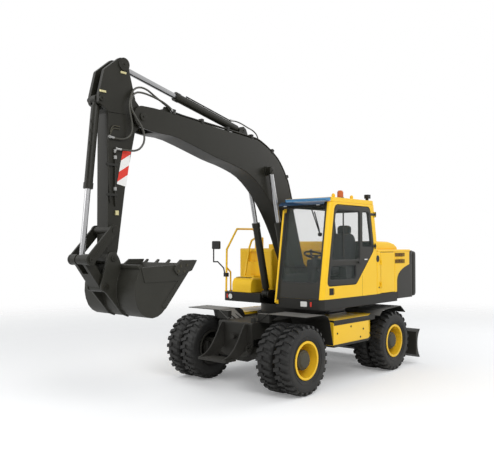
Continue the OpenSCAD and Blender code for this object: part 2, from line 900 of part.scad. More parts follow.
// Rear quarter of the house wall, seated on the counterweight's shoulder
module quarter_panel(inner) {
    top = hood_top - panel_t;
    last = len(shoulder) - 1;
    clear = [seat_gap, seat_gap];
    lean = (shoulder[last][0] - shoulder[last - 1][0]) / (shoulder[last][1] - shoulder[last - 1][1]);
    rear_top = shoulder[last - 1][0] + (top - shoulder[last - 1][1]) * lean + seat_gap;
    difference() {
        side_plate(concat(
            [[quarter_front, skirt_top], [quarter_front, top], [rear_top, top]],
            [for (i = [last - 1 : -1 : 0]) shoulder[i] + clear],
            [[cw_front, skirt_top]]
        ), inner, upper_half_w);
        for (x = louvre_x, z = louvre_z, i = [0 : louvre_count - 1])
            translate([x - i * louvre_pitch, 0, z])
                box([-louvre_slot, inner - 1, 0], [0, upper_half_w + 1, louvre_h]);
    }
}

module house_panels() {
    inner = upper_half_w - panel_t;
    color(paint_yellow) {
        both_sides() {
            difference() {
                box([door_front + door_gap, inner, skirt_top], [cab_rear - 10, upper_half_w, hood_top - panel_t]);
                side_plate(round_box(latch_at - latch_half, latch_at + latch_half, latch_half[0] - 1),
                    upper_half_w - latch_depth, upper_half_w + 1);
            }
            quarter_panel(inner);
            for (z = side_hinge_z)
                hinge_fixed(side_door_axis, z, upper_half_w, door_front + hinge_reach);
        }
        box([cab_rear - 40, -inner - eps, skirt_top], [cab_rear - 10, inner + eps, hood_top - panel_t]);
    }
}

hood_front = cab_rear - 20;
hood_rear = -1925;
hump_front = -800;
hump_rear = -1460;
hump_half = 700;
hump_top = 2260;

module hood() {
    hump_base = hood_top - eps;
    color(paint_yellow) {
        box([hood_rear, -upper_half_w, hood_top - panel_t + seat_gap], [hood_front, upper_half_w, hood_top]);
        intersection() {
            side_plate(rounded([
                [hump_front, hump_base, 0], [hump_front - 30, hump_top, 60], [hump_rear + 20, hump_top - 35, 90],
                [hump_rear, hump_base, 0]
            ]), -hump_half, hump_half);
            front_plate(rounded([
                [-hump_half, hump_base, 0], [hump_half, hump_base, 0], [hump_half - 10, hump_top, 70],
                [10 - hump_half, hump_top, 70]
            ]), hump_rear - 1, hump_front + 1);
        }
    }
}

module side_door(side) {
    color(paint_yellow)
        mirror([0, side < 0 ? 1 : 0, 0]) {
            box([door_rear, upper_half_w - panel_t, skirt_top + door_gap], [door_front, upper_half_w, side_door_top]);
            for (z = side_hinge_z)
                hinge_leaf(side_door_axis, z, upper_half_w, door_front - 5, door_front - hinge_reach);
        }
}

module side_door_left() { side_door(1); }
module side_door_right() { side_door(-1); }

tank_inner_y = -430;
tank_front = 60;
tank_rear = cab_rear + 20;
tank_top = 2130;
foothold = [[-1010, 1890], [-650, 2070]];
foothold_depth = 60;
step_top = 1630;
step_front = 480;
step_out = -upper_half_w + 220;
step_in = tank_inner_y - 130;
step_tread = 12;

module tank() {
    color(paint_yellow) {
        difference() {
            intersection() {
                side_plate(rounded([
                    [tank_front, skirt_top, 0], [tank_front, tank_top, 70], [tank_rear, tank_top, 0],
                    [tank_rear, skirt_top, 0]
                ]), -upper_half_w, tank_inner_y);
                deck_plate(rounded([
                    [tank_rear, -upper_half_w, 0], [tank_front, -upper_half_w, 70], [tank_front, tank_inner_y, 45],
                    [tank_rear, tank_inner_y, 0]
                ]), skirt_top, tank_top);
            }
            front_plate(round_box(foothold[0], foothold[1], 30), tank_front - foothold_depth, tank_front + 1);
        }
        deck_plate(round_box([-190, tank_inner_y - 150], [-20, tank_inner_y - 30], 25), tank_top - eps, tank_top + 75);
        translate([-450, tank_inner_y - 200, tank_top - eps])
            cylinder(r = 60, h = 45);
    }
}

module step_box() {
    color(paint_yellow) {
        intersection() {
            side_plate(rounded([
                [tank_front, skirt_top, 0], [step_front, skirt_top, 0], [step_front, step_top, 150],
                [tank_front, step_top, 0]
            ]), step_out, step_in);
            front_plate(rounded([
                [step_out, skirt_top, 0], [step_in, skirt_top, 0], [step_in, step_top, 60], [step_out, step_top, 60]
            ]), tank_front, step_front);
        }
        box([tank_front, step_out + 140, step_top - eps], [step_front - 155, step_in - 65, step_top + step_tread]);
    }
}

rail_r = 18;
rail_y = -upper_half_w + 40;
post_foot = [440, rail_y, skirt_top];
post_top = [425, rail_y, 2110];
brace_foot = [320, rail_y, skirt_top];
inner_rail_y = step_out + 96;
foot_half = rail_r + 4;
brace_r = rail_r - 3;
foot_h = 14;
inner_foot = [243, inner_rail_y, step_top];
grab_y = cab_y + 28;
grab_r = 15;
grab_off = 48;
grab_ends = [1290, 2735];

module handrails() {
    color(paint_yellow) {
        bent_tube([
            post_foot + [0, 0, foot_h / 2], post_top, [150, rail_y, 2485], [-300, rail_y, 2490],
            [-380, rail_y, 2410], [-380, rail_y, tank_top]
        ], rail_r);
        bent_tube([
            brace_foot + [0, 0, foot_h / 2], brace_foot + [5, 0, 340], along(post_foot, post_top, 430)
        ], brace_r);
        bent_tube([
            inner_foot + [0, 0, foot_h / 2], [120, inner_rail_y, 2150], [58, inner_rail_y, 2272],
            [-25, inner_rail_y, 2308], [-250, inner_rail_y, 2316], [-250, inner_rail_y, tank_top]
        ], rail_r);
        for (foot = [post_foot, brace_foot, inner_foot])
            box(foot - [foot_half, foot_half, 0], foot + [foot_half, foot_half, foot_h]);
        grab_tube();
    }
}

// Tube along the right front pillar of the cab, on two feet
module grab_tube() {
    top = grab_ends[1];
    bent_tube([
        [cab_front + 6, grab_y, grab_ends[0]], [cab_front + grab_off, grab_y, grab_ends[0]],
        [front_x(top) + grab_off, grab_y, top], [front_x(top) + 6, grab_y, top]
    ], grab_r);
    box([cab_front, grab_y - 24, grab_ends[0] - 30], [cab_front + 12, grab_y + 24, grab_ends[0] + 30]);
    side_plate([
        [front_x(top - 30), top - 30], [front_x(top - 30) + 12, top - 30], [front_x(top + 30) + 12, top + 30],
        [front_x(top + 30), top + 30]
    ], grab_y - 24, grab_y + 24);
}

mirror_at = [585, -upper_half_w - 70, 2188];
mirror_half = [20, 90, 73];
clamp_at = 295;
stalk_r = 12;

module mirrors() {
    clamp = along(post_foot, post_top, clamp_at);
    stalk_foot = mirror_at + [0, -65, -300];
    color(frame_black) {
        difference() {
            box(clamp - [32, 45, 35], clamp + [32, 32, 35]);
            bar(along(post_foot, post_top, clamp_at - 60), along(post_foot, post_top, clamp_at + 60), rail_r + seat_gap);
        }
        bent_tube([
            clamp + [0, -36, 0], clamp + [20, -50, 120], stalk_foot + [-60, 45, 0], stalk_foot,
            stalk_foot + [0, 0, 240]
        ], stalk_r);
        translate(mirror_at)
            front_plate(round_box([-mirror_half[1], -mirror_half[2]], [mirror_half[1], mirror_half[2]], 22),
                -mirror_half[0], mirror_half[0]);
    }
}

// Cab

cab_out = upper_half_w;
floor_t = 60;
sill_z = 1555;
head_z = 2820;
front_lean = (900 - 660) / (2900 - 1360);
wall_top = cab_top - 70;
seam_x = -250;
seam_w = 4;
seam_top = 1700;
vent_at = [560, 1440];
vent_w = 75;
vent_count = 4;
vent_pitch = 20;
vent_slot = 12;
vent_depth = 15;

// Outer face of the leaning windscreen at a height
function front_x(z) = cab_front - (z - skirt_top) * front_lean;

// Outer face of the leaning rear wall at a height
function rear_x(z) = cab_rear + (z - 2200) * 110 / (wall_top - 2200);

// Front of the roof
roof_front = front_x(wall_top) + 30;

// Side outline of the cab, inset by a wall
function cab_outline(inset, top) = [
    [front_x(skirt_top) - inset, skirt_top + (inset > 0 ? floor_t : 0)], [front_x(top) - inset, top],
    [-610 + inset, top], [cab_rear + inset, 2200], [cab_rear + inset, skirt_top + (inset > 0 ? floor_t : 0)]
];

// Outline of the door opening on the left wall
door_corners = [
    [767, sill_z, 70], [553, head_z, 110], [-500, head_z, 90], [-637, 2113, 150], [-67, sill_z, 110]
];

// Outline of the right-hand window
right_window = rounded([
    [760, 1700, 70], [590, head_z - 20, 70], [-520, head_z - 20, 70], [-620, 2200, 120], [-620, 1700, 70]
]);

// Corners of the windscreen's opening and of the rear window's opening, [y, z, r]
screen_corners = [
    [cab_out - 90, 1600, 90], [cab_out - 90, head_z - 20, 70], [cab_y + 60, head_z - 20, 70], [cab_y + 60, 1600, 90]
];
rear_corners = [
    [cab_out - 90, 2240, 60], [cab_out - 90, head_z - 60, 60], [cab_y + 90, head_z - 60, 60], [cab_y + 90, 2240, 60]
];

// Windows of the door
door_windows = [
    rounded([[640, 1950, 60], [515, head_z - 80, 80], [-180, head_z - 80, 50], [-180, 1950, 50]]),
    rounded([[-260, 2150, 40], [-260, head_z - 80, 40], [-440, head_z - 80, 60], [-560, 2150, 40]]),
    rounded([[690, 1640, 50], [650, 1870, 50], [-60, 1870, 40], [-60, 1690, 30], [-5, 1640, 30]])
];

// Prism that rounds the cab's leaning front left edge
module pillar_cut() {
    r = pillar_r;
    translate([cab_front, cab_out, skirt_top])
        rotate([0, -atan(front_lean), 0])
            translate([0, 0, -r])
                linear_extrude(cab_top)
                    polygon(concat([[1, -r], [1, 1], [-r, 1]], corner_arc([-2 * r, 0], [0, 0], [0, -2 * r], r)));
}

module front_opening(x0, x1) {
    front_plate(rounded(screen_corners), x0, x1);
}

module rear_opening(x0, x1) {
    front_plate(rounded(rear_corners), x0, x1);
}

module cab_frame() {
    color(paint_yellow) {
        difference() {
            side_plate(cab_outline(0, wall_top), cab_y, cab_out);
            side_plate(cab_outline(cab_wall, wall_top + 1), cab_y + cab_wall, cab_out - cab_wall);
            side_plate(rounded(door_corners), cab_out - 2 * cab_wall, cab_out + 1);
            side_plate(right_window, cab_y - 1, cab_y + 2 * cab_wall);
            front_opening(500, cab_front + 1);
            rear_opening(cab_rear - 100, -500);
            pillar_cut();
            box([seam_x - seam_w, cab_out - seam_w, skirt_top - 1], [seam_x, cab_out + 1, seam_top]);
            for (i = [0 : vent_count - 1])
                box([vent_at[0], cab_out - vent_depth, vent_at[1] + i * vent_pitch],
                    [vent_at[0] + vent_w, cab_out + 1, vent_at[1] + i * vent_pitch + vent_slot]);
        }
        for (z = door_hinge_z)
            hinge_fixed(door_axis, z, cab_out, door_axis[0] + (z > 2400 ? hinge_reach : -hinge_reach));
    }
}

module cab_roof() {
    rear = -640;
    color(paint_yellow)
        intersection() {
            side_plate(rounded([
                [roof_front, wall_top, 0], [roof_front, cab_top, 55], [rear, cab_top, 65], [rear + 15, wall_top, 0]
            ]), cab_y, cab_out);
            deck_plate(rounded([
                [rear, cab_y, 60], [roof_front, cab_y, 60], [roof_front, cab_out, pillar_r], [rear, cab_out, 60]
            ]), wall_top, cab_top);
        }
}

// Slab parallel to the leaning windscreen, between two depths behind its outer face
module screen_slab(depth0, depth1) {
    side_plate([
        [front_x(1400) - depth0, 1400], [front_x(2900) - depth0, 2900],
        [front_x(2900) - depth1, 2900], [front_x(1400) - depth1, 1400]
    ], cab_y, cab_out);
}

module cab_glass() {
    color(pane) {
        intersection() {
            screen_slab(20, 20 + glass_t);
            front_plate(rounded(inset(screen_corners, seat_gap)), 500, cab_front);
        }
        side_plate(right_window, cab_y + 20, cab_y + 20 + glass_t);
        intersection() {
            side_plate([
                [rear_x(2200) + 20, 2200], [rear_x(2200) + 20 + glass_t, 2200],
                [rear_x(head_z) + 20 + glass_t, head_z], [rear_x(head_z) + 20, head_z]
            ], cab_y, cab_out);
            front_plate(rounded(inset(rear_corners, seat_gap)), cab_rear - 50, -500);
        }
    }
}

door_axis = [-648, cab_out + hinge_r + 1];
door_hinge_z = [2170, 2700];
door_t = 40;

module cab_door() {
    color(frame_black) {
        difference() {
            side_plate(rounded(inset(door_corners, door_gap)), cab_out - door_t, cab_out);
            for (w = door_windows)
                side_plate(w, cab_out - 2 * door_t, cab_out + 1);
        }
        hinge_leaf(door_axis, door_hinge_z[0], cab_out, -610, -575);
        hinge_leaf(door_axis, door_hinge_z[1], cab_out, -500, -455);
        bar([-120, cab_out - eps, 1910], [-120, cab_out + 25, 1910], 14);
        side_plate(round_box([-210, 1890], [-100, 1930], 12), cab_out + 24, cab_out + 34);
    }
}

module door_glass() {
    color(pane)
        for (w = door_windows)
            side_plate(w, cab_out - 26, cab_out - 26 + glass_t);
}

cab_floor = skirt_top + floor_t;
console_w = 120;
console_left = cab_out - cab_wall - console_w;
console_right = cab_y + cab_wall + 25 + console_w;
console_top = 1950;
seat_y = (console_left + console_right) / 2;
seat_half = (console_left - console_right) / 2 - 10;

module seat() {
    color(frame_black) {
        box([-330, seat_y - seat_half + 70, cab_floor], [120, seat_y + seat_half - 70, 1700]);
        side_plate(rounded([[-380, 1700 - eps, 0], [150, 1700 - eps, 30], [170, 1850, 60], [-380, 1830, 0]]),
            seat_y - seat_half, seat_y + seat_half);
        side_plate(rounded([[-400, 1829, 0], [-240, 1829, 0], [-310, 2330, 50], [-420, 2330, 40]]),
            seat_y - seat_half + 15, seat_y + seat_half - 15);
        side_plate(rounded([[-415, 2329, 0], [-335, 2329, 0], [-345, 2520, 35], [-430, 2520, 30]]),
            seat_y - 0.5 * seat_half, seat_y + 0.5 * seat_half);
    }
}

wheel_at = [440, seat_y, 2020];
wheel_lean = -20;
wheel_r = 190;
wheel_rim_r = 16;
visor_t = 8;
beacon_at = [60, 1000];
head_lamp_y = [cab_y + 45, 1020];
lamp_out = 14;

module controls() {
    color(frame_black) {
        for (y = [console_left, console_right - console_w]) {
            side_plate(rounded([
                [-300, cab_floor, 0], [110, cab_floor, 0], [180, console_top - 60, 40], [160, console_top, 30],
                [-300, console_top, 60]
            ]), y, y + console_w);
            bar([100, y + console_w / 2, console_top - 20], [125, y + console_w / 2, console_top + 90], 11);
            bar([125, y + console_w / 2, console_top + 85], [140, y + console_w / 2, console_top + 165], 22);
        }
        box([500, seat_y - 70, cab_floor], [640, seat_y + 70, cab_floor + 60]);
        bar([560, seat_y, cab_floor + 30], wheel_at, 35);
        translate(wheel_at)
            rotate([0, wheel_lean, 0]) {
                rotate_extrude()
                    translate([wheel_r, 0])
                        circle(r = wheel_rim_r);
                box([-15, -wheel_r, -10], [15, wheel_r, 10]);
            }
    }
}

module visor() {
    color("#3a6ea5")
        side_plate(sheet_outline(bezier(
            [roof_front, 2868], [roof_front + 60, 2868], [roof_front + 115, 2850], [roof_front + 145, 2805]
        ), visor_t), cab_y + 10, cab_out - 10);
}

module lamps() {
    color("orange")
        translate([beacon_at[0], beacon_at[1], cab_top])
            rotate_extrude()
                polygon([[0, 0], [62, 0], [62, 28], [52, 34], [50, 120], [36, 142], [0, 148]]);
    color("#e8e8e0") {
        for (y = head_lamp_y)
            side_plate([
                [front_x(2802), 2802], [front_x(2802) + 45, 2802], [front_x(2802) + 45, 2856], [front_x(2856), 2856]
            ], y - 34, y + 34);
        front_plate(round_box([825, 1245], [950, 1325], 14), cab_front, cab_front + lamp_out);
        bar([upper_front_right, -1010, 1284], [upper_front_right + lamp_out, -1010, 1284], 46);
    }
    color("#c02018") {
        front_plate(round_box([1000, 1250], [1030, 1322], 8), cab_front, cab_front + lamp_out / 2);
        front_plate(round_box([-1110, 1250], [-1080, 1322], 8), upper_front_right, upper_front_right + lamp_out / 2);
    }
    color(frame_black) {
        box([-560, 1110, cab_top], [-535, 1160, cab_top + 40]);
        box([-600, 1095, cab_top + 39], [-520, 1175, cab_top + 105]);
    }
}

// Boom

fork_gap_half = arm_half_w + side_clear;
fork_clear_r = 270;
fork_nose_r = 145;
hose_rack_y = 100;
hose_rack_t = 14;

module boom() {
    top = [
        [-110, 1790], [300, 3050], [420, 3320], [660, 3610], [1080, 3830], [1400, 3870],
        [2350, 3945], [3120, 4010], [3470, 4015]
    ];
    under = [
        [3470, 3725], [3200, 3690], [2850, 3670], [2100, 3480], [1700, 3400], [1300, 3270], [950, 3010],
        [690, 2720], [450, 2360], [310, 2080], [100, 1700]
    ];
    color(paint_dark)
        difference() {
            union() {
                difference() {
                    union() {
                        side_plate(concat(smooth_line(top), smooth_line(under)), -boom_half_w, boom_half_w);
                        bar_y(arm_pivot, fork_nose_r, -boom_half_w, boom_half_w);
                    }
                    bar_y(arm_pivot, fork_clear_r, -fork_gap_half, fork_gap_half);
                }
                bar_y(boom_foot, 120, -boom_half_w, boom_half_w);
                bar_y(boom_cyl_eye, 75, -boom_cyl_y + boom_eye_w / 2 + side_clear, boom_cyl_y - boom_eye_w / 2 - side_clear);
                bar_y(arm_pivot, pin_r, -boom_half_w - 15, boom_half_w + 15);
                lug_pair([
                    [1250, 3845], arm_cyl_base + [-60, 30], arm_cyl_base + [0, 65], arm_cyl_base + [60, 30], [1560, 3870]
                ], arm_cyl_base, 0, 100, 30);
                for (y = [-hose_rack_y, hose_rack_y])
                    side_plate(rounded([
                        [2900, 3970, 0], [3090, 3980, 0], [3060, 4085, 30], [2960, 4075, 30]
                    ]), y - hose_rack_t / 2, y + hose_rack_t / 2);
                bar_y([3010, 4050], 16, -hose_rack_y, hose_rack_y);
            }
            bar_y(boom_foot, bore_r, -boom_half_w - 1, boom_half_w + 1);
        }
}

module boom_barrels() {
    color(paint_dark)
        both_sides()
            cylinder_barrel(boom_cyl_base, boom_cyl_eye, 1230, boom_cyl_d, boom_rod_d, boom_cyl_y, boom_eye_w);
}

module boom_rods() {
    color(bright_steel)
        both_sides()
            cylinder_rod(boom_cyl_base, boom_cyl_eye, 860, boom_rod_d, 62, boom_cyl_y, boom_eye_w, 4);
}

// Arm

arm_eye_w = 100;
arm_slot_half = arm_eye_w / 2 + 12;
rocker_in = 170;
rocker_t = 32;

module arm() {
    color(paint_dark)
        difference() {
            union() {
                difference() {
                    side_plate(rounded([
                        [3690, 4590, 60], [3810, 4590, 70], [4050, 4390, 60], [4130, 4060, 40], [4130, 3960, 40],
                        [3985, 3880, 60], [3985, 2200, 0], [3990, 1990, 0], [3870, 1990, 0], [3830, 2120, 60],
                        [3715, 2940, 0], [3560, 3650, 200], [3540, 3870, 0], [3550, 4060, 80], [3650, 4420, 100]
                    ]), -arm_half_w, arm_half_w);
                    box([3400, -arm_slot_half, 4180], [4300, arm_slot_half, 4700]);
                    box([4010, -arm_slot_half, 3900], [4300, arm_slot_half, 4300]);
                }
                bar_y(arm_pivot, 125, -arm_half_w, arm_half_w);
                side_plate([[3470, 3745], [3620, 3600], [3620, 4140], [3470, 3995]], -arm_half_w, arm_half_w);
                bar_y(bucket_pin, 78, -arm_half_w, arm_half_w);
                bar_y(rocker_pin, 55, -rocker_in + 4, rocker_in - 4);
                bar_y(rocker_pin, pin_r, -rocker_in - rocker_t - 6, rocker_in + rocker_t + 6);
                bar_y(bucket_cyl_base, pin_r, -arm_half_w - 20, arm_half_w + 20);
                bar_y(arm_cyl_eye, 85, arm_slot_half, arm_half_w + 18);
                bar_y(arm_cyl_eye, 85, -arm_half_w - 18, -arm_slot_half);
            }
            bar_y(arm_pivot, bore_r, -arm_half_w - 1, arm_half_w + 1);
            bar_y(bucket_pin, bore_r, -arm_half_w - 1, arm_half_w + 1);
        }
}

module arm_barrel() {
    color(paint_dark)
        cylinder_barrel(arm_cyl_base, arm_cyl_eye, 1410, arm_cyl_d, arm_rod_d, 0, arm_eye_w);
}

module arm_rod() {
    color(bright_steel)
        cylinder_rod(arm_cyl_base, arm_cyl_eye, 922, arm_rod_d, 66, 0, arm_eye_w, 5);
}

// Bucket and its linkage

ear_in = arm_half_w + 10;
ear_t = 34;
band_t = 10;
cutter_t = 22;

// Side outline of the bowl from the lip round the heel to the top of the back
bowl_outline = [
    [2900, 1945], [3400, 1370], [3450, 1322], [3520, 1285], [3600, 1270], [3690, 1285], [3765, 1325], [3825, 1390],
    [3865, 1480], [3885, 1580], [3880, 1690], [3850, 1800], [3800, 1910]
];
mouth_over = [[3800, 2300], [2700, 2300]];

module bucket() {
    half = bucket_w / 2;
    ear_out = ear_in + ear_t;
    color(paint_dark) {
        difference() {
            side_plate(bowl_outline, -half, half);
            translate([0, half - bucket_side_t, 0])
                rotate([90, 0, 0])
                    linear_extrude(2 * (half - bucket_side_t))
                        offset(delta = -bucket_shell_t)
                            polygon(concat(bowl_outline, mouth_over));
        }
        both_sides()
            side_plate([
                bucket_pin + [-85, 10], bucket_pin + [-40, 80], bucket_pin + [40, 80], bucket_pin + [85, 20],
                link_pin + [75, 30], link_pin + [70, -40], link_pin + [0, -75], [3900, 1440], [3790, 1310],
                [3690, 1270], [3686, 1293], [3760, 1333], [3817, 1396], [3857, 1484], [3877, 1580],
                [3872, 1690], [3842, 1797], [3794, 1905]
            ], ear_in, ear_out);
        for (at = [bucket_pin, link_pin])
            bar_y(at, pin_r, -ear_out - 15, ear_out + 15);
        for (i = [-2 : 2])
            translate([0, i * (bucket_w - tooth_w - 40) / 4, 0])
                bucket_tooth();
        both_sides() {
            side_plate([
                [2905, 1939], [3400, 1371], [3460, 1412], [3185, 1720], [3740, 1720], [3796, 1908]
            ], half - eps, half + band_t);
            side_plate(rounded([
                [3130, 1992, 15], [2862, 1990, 10], [2960, 1850, 20], [3190, 1790, 30], [3290, 1880, 30]
            ]), half - eps, half + band_t + cutter_t);
            bar_y([3800, 1915], 30, ear_out - eps, half - eps);
        }
    }
}

// One tooth on its adapter, pointing up past the lip
module bucket_tooth() {
    half = tooth_w / 2;
    intersection() {
        side_plate([[2858, 1992], [2842, 1978], [2955, 1852], [2985, 1880]], -half, half);
        deck_plate([[2990, -half + 6], [2990, half - 6], [2838, half - 22], [2838, 22 - half]], 1800, 2000);
    }
    side_plate(rounded([[2945, 1882, 8], [2962, 1846, 12], [3060, 1757, 10], [3075, 1800, 0], [2990, 1893, 10]]),
        -half - 8, half + 8);
}

module rocker() {
    color(paint_dark)
        both_sides()
            difference() {
                union() {
                    bar_y(rocker_pin, 70, rocker_in, rocker_in + rocker_t);
                    bar_y(rod_pin, 70, rocker_in, rocker_in + rocker_t);
                    bar_y(rod_pin, pin_r, rocker_in, rocker_in + rocker_t + 12);
                    side_plate([
                        rocker_pin + [45, 45], rod_pin + [45, 45], rod_pin + [-45, -45], rocker_pin + [-45, -45]
                    ], rocker_in, rocker_in + rocker_t);
                }
                bar_y(rocker_pin, bore_r, rocker_in - 1, rocker_in + rocker_t + 1);
            }
}

link_half = arm_half_w;
link_slot_half = 58;

module link() {
    color(paint_dark)
        difference() {
            union() {
                bar_y(link_pin, 68, -link_half, link_half);
                bar_y(rod_pin, 68, -rocker_in + 4, rocker_in - 4);
                side_plate([
                    rod_pin + [45, -35], link_pin + [45, -35], link_pin + [-45, 35], rod_pin + [-45, 35]
                ], -link_half, link_half);
            }
            bar_y(link_pin, bore_r, -link_half - 1, link_half + 1);
            bar_y(rod_pin, 190, -link_slot_half, link_slot_half);
        }
}

bucket_eye_w = 96;

module bucket_barrel() {
    color(paint_dark)
        cylinder_barrel(bucket_cyl_base, rod_pin, 1140, bucket_cyl_d, bucket_rod_d, 0, bucket_eye_w);
}

module bucket_rod() {
    color(bright_steel)
        cylinder_rod(bucket_cyl_base, rod_pin, 900, bucket_rod_d, 62, 0, bucket_eye_w, 4);
}

chassis_frame();
slew_ring();
front_axle();
rear_axle();
front_step();
fenders();
toolboxes();
knuckle_left();
knuckle_right();
tyres_front_left();
tyres_front_right();
tyres_rear_left();
tyres_rear_right();
rims_front_left();
rims_front_right();
rims_rear_left();
rims_rear_right();
blade();
blade_barrels();
blade_rods();
swing_frame();
counterweight();
engine();
house_panels();
hood();
side_door_left();
side_door_right();
tank();
step_box();
handrails();
mirrors();
cab_frame();
cab_roof();
cab_glass();
cab_door();
door_glass();
seat();
controls();
visor();
lamps();
boom();
boom_barrels();
boom_rods();
arm();
arm_barrel();
arm_rod();
bucket();
rocker();
link();
bucket_barrel();
bucket_rod();
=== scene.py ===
"""Looks of a wheeled excavator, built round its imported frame: paint, rubber, glass, hoses and fittings."""

import json
import logging
import math
from dataclasses import dataclass, field
from enum import Enum
from typing import Callable, Optional, Sequence, Union

import bmesh
import bpy
from mathutils import Matrix, Vector
from mathutils.bvhtree import BVHTree

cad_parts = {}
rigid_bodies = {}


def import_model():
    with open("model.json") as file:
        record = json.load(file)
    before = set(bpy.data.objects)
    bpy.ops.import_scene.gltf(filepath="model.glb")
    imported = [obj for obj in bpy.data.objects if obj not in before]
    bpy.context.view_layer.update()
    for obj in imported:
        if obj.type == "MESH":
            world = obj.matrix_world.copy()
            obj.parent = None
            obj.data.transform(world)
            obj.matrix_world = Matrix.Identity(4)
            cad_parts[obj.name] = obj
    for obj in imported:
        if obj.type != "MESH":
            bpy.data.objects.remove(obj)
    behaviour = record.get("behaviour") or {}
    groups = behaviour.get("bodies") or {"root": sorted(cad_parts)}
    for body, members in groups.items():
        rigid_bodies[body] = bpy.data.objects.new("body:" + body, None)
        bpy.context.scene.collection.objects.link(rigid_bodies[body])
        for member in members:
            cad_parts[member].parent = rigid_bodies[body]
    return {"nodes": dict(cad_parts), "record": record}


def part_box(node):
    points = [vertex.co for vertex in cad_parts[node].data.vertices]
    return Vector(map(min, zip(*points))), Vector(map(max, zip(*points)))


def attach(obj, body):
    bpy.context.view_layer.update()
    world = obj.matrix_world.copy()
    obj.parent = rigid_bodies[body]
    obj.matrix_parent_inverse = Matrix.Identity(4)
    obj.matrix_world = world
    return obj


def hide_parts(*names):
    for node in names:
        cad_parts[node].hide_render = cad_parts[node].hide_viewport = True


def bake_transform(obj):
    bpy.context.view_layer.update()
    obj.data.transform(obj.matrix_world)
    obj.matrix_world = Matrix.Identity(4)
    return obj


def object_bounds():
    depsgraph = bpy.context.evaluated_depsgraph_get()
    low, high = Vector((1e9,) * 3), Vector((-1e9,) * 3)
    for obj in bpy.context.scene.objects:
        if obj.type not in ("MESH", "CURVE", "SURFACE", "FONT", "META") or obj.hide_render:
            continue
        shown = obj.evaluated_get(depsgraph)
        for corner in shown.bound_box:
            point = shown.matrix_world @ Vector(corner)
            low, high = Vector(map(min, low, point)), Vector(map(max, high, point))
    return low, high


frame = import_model()
CAD_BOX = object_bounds()

LOG = logging.getLogger("excavator")
Point = tuple[float, float, float]
Flat = tuple[float, float]
Colour = tuple[float, float, float]
FaceRule = Callable[[Vector, Vector], int]
Cut = tuple[Point, Point]
Place = tuple[Point, Point]
Object = bpy.types.Object
Tree = bpy.types.NodeTree
Socket = bpy.types.NodeSocket
Shade = Union[Socket, Colour]

FORWARD: Point = (1.0, 0.0, 0.0)
BACKWARD: Point = (-1.0, 0.0, 0.0)
LEFTWARD: Point = (0.0, 1.0, 0.0)
UP: Point = (0.0, 0.0, 1.0)
DOWN: Point = (0.0, 0.0, -1.0)
MERGE = 1e-5


class Side(Enum):
    """The machine's two sides, with the sign of y."""

    LEFT = 1
    RIGHT = -1

    @property
    def label(self) -> str:
        """The side's word in a piece's name."""
        return self.name.lower()

    @property
    def outward(self) -> Point:
        """The way that points out of this side."""
        return (0.0, float(self.value), 0.0)


class Slot(Enum):
    """The record's material slots."""

    YELLOW = "yellow_paint"
    BOOM = "boom_paint"
    CHASSIS = "chassis_paint"
    PLASTIC = "black_plastic"
    CHROME = "rod_chrome"
    TYRE = "tyre"
    WINDOW = "window"
    VISOR = "visor_tint"
    LENS = "lamp_lens"
    FABRIC = "seat_fabric"
    IRON = "engine_iron"


DUST: Colour = (0.34, 0.31, 0.26)
EDGE = "edge"
AIM = "aim"
PATCH_DETAIL = 4.0
GRAIN_DETAIL = 3.0
GRAIN_DEPTH = 0.002
CHIP_SCALE = 14.0
CHIP_DETAIL = 6.0
CHIP_FROM = 0.48
CHIP_TO = 0.62
COAT_ROUGH = 0.12
LEAST_ROUGH = 0.02
MIX_COLOURS = (6, 7)
MIX_RESULT = 2


def set_inputs(node: bpy.types.Node, values: dict[str, object]) -> None:
    """Sets a node's named inputs to plain values."""
    for name, value in values.items():
        node.inputs[name].default_value = value


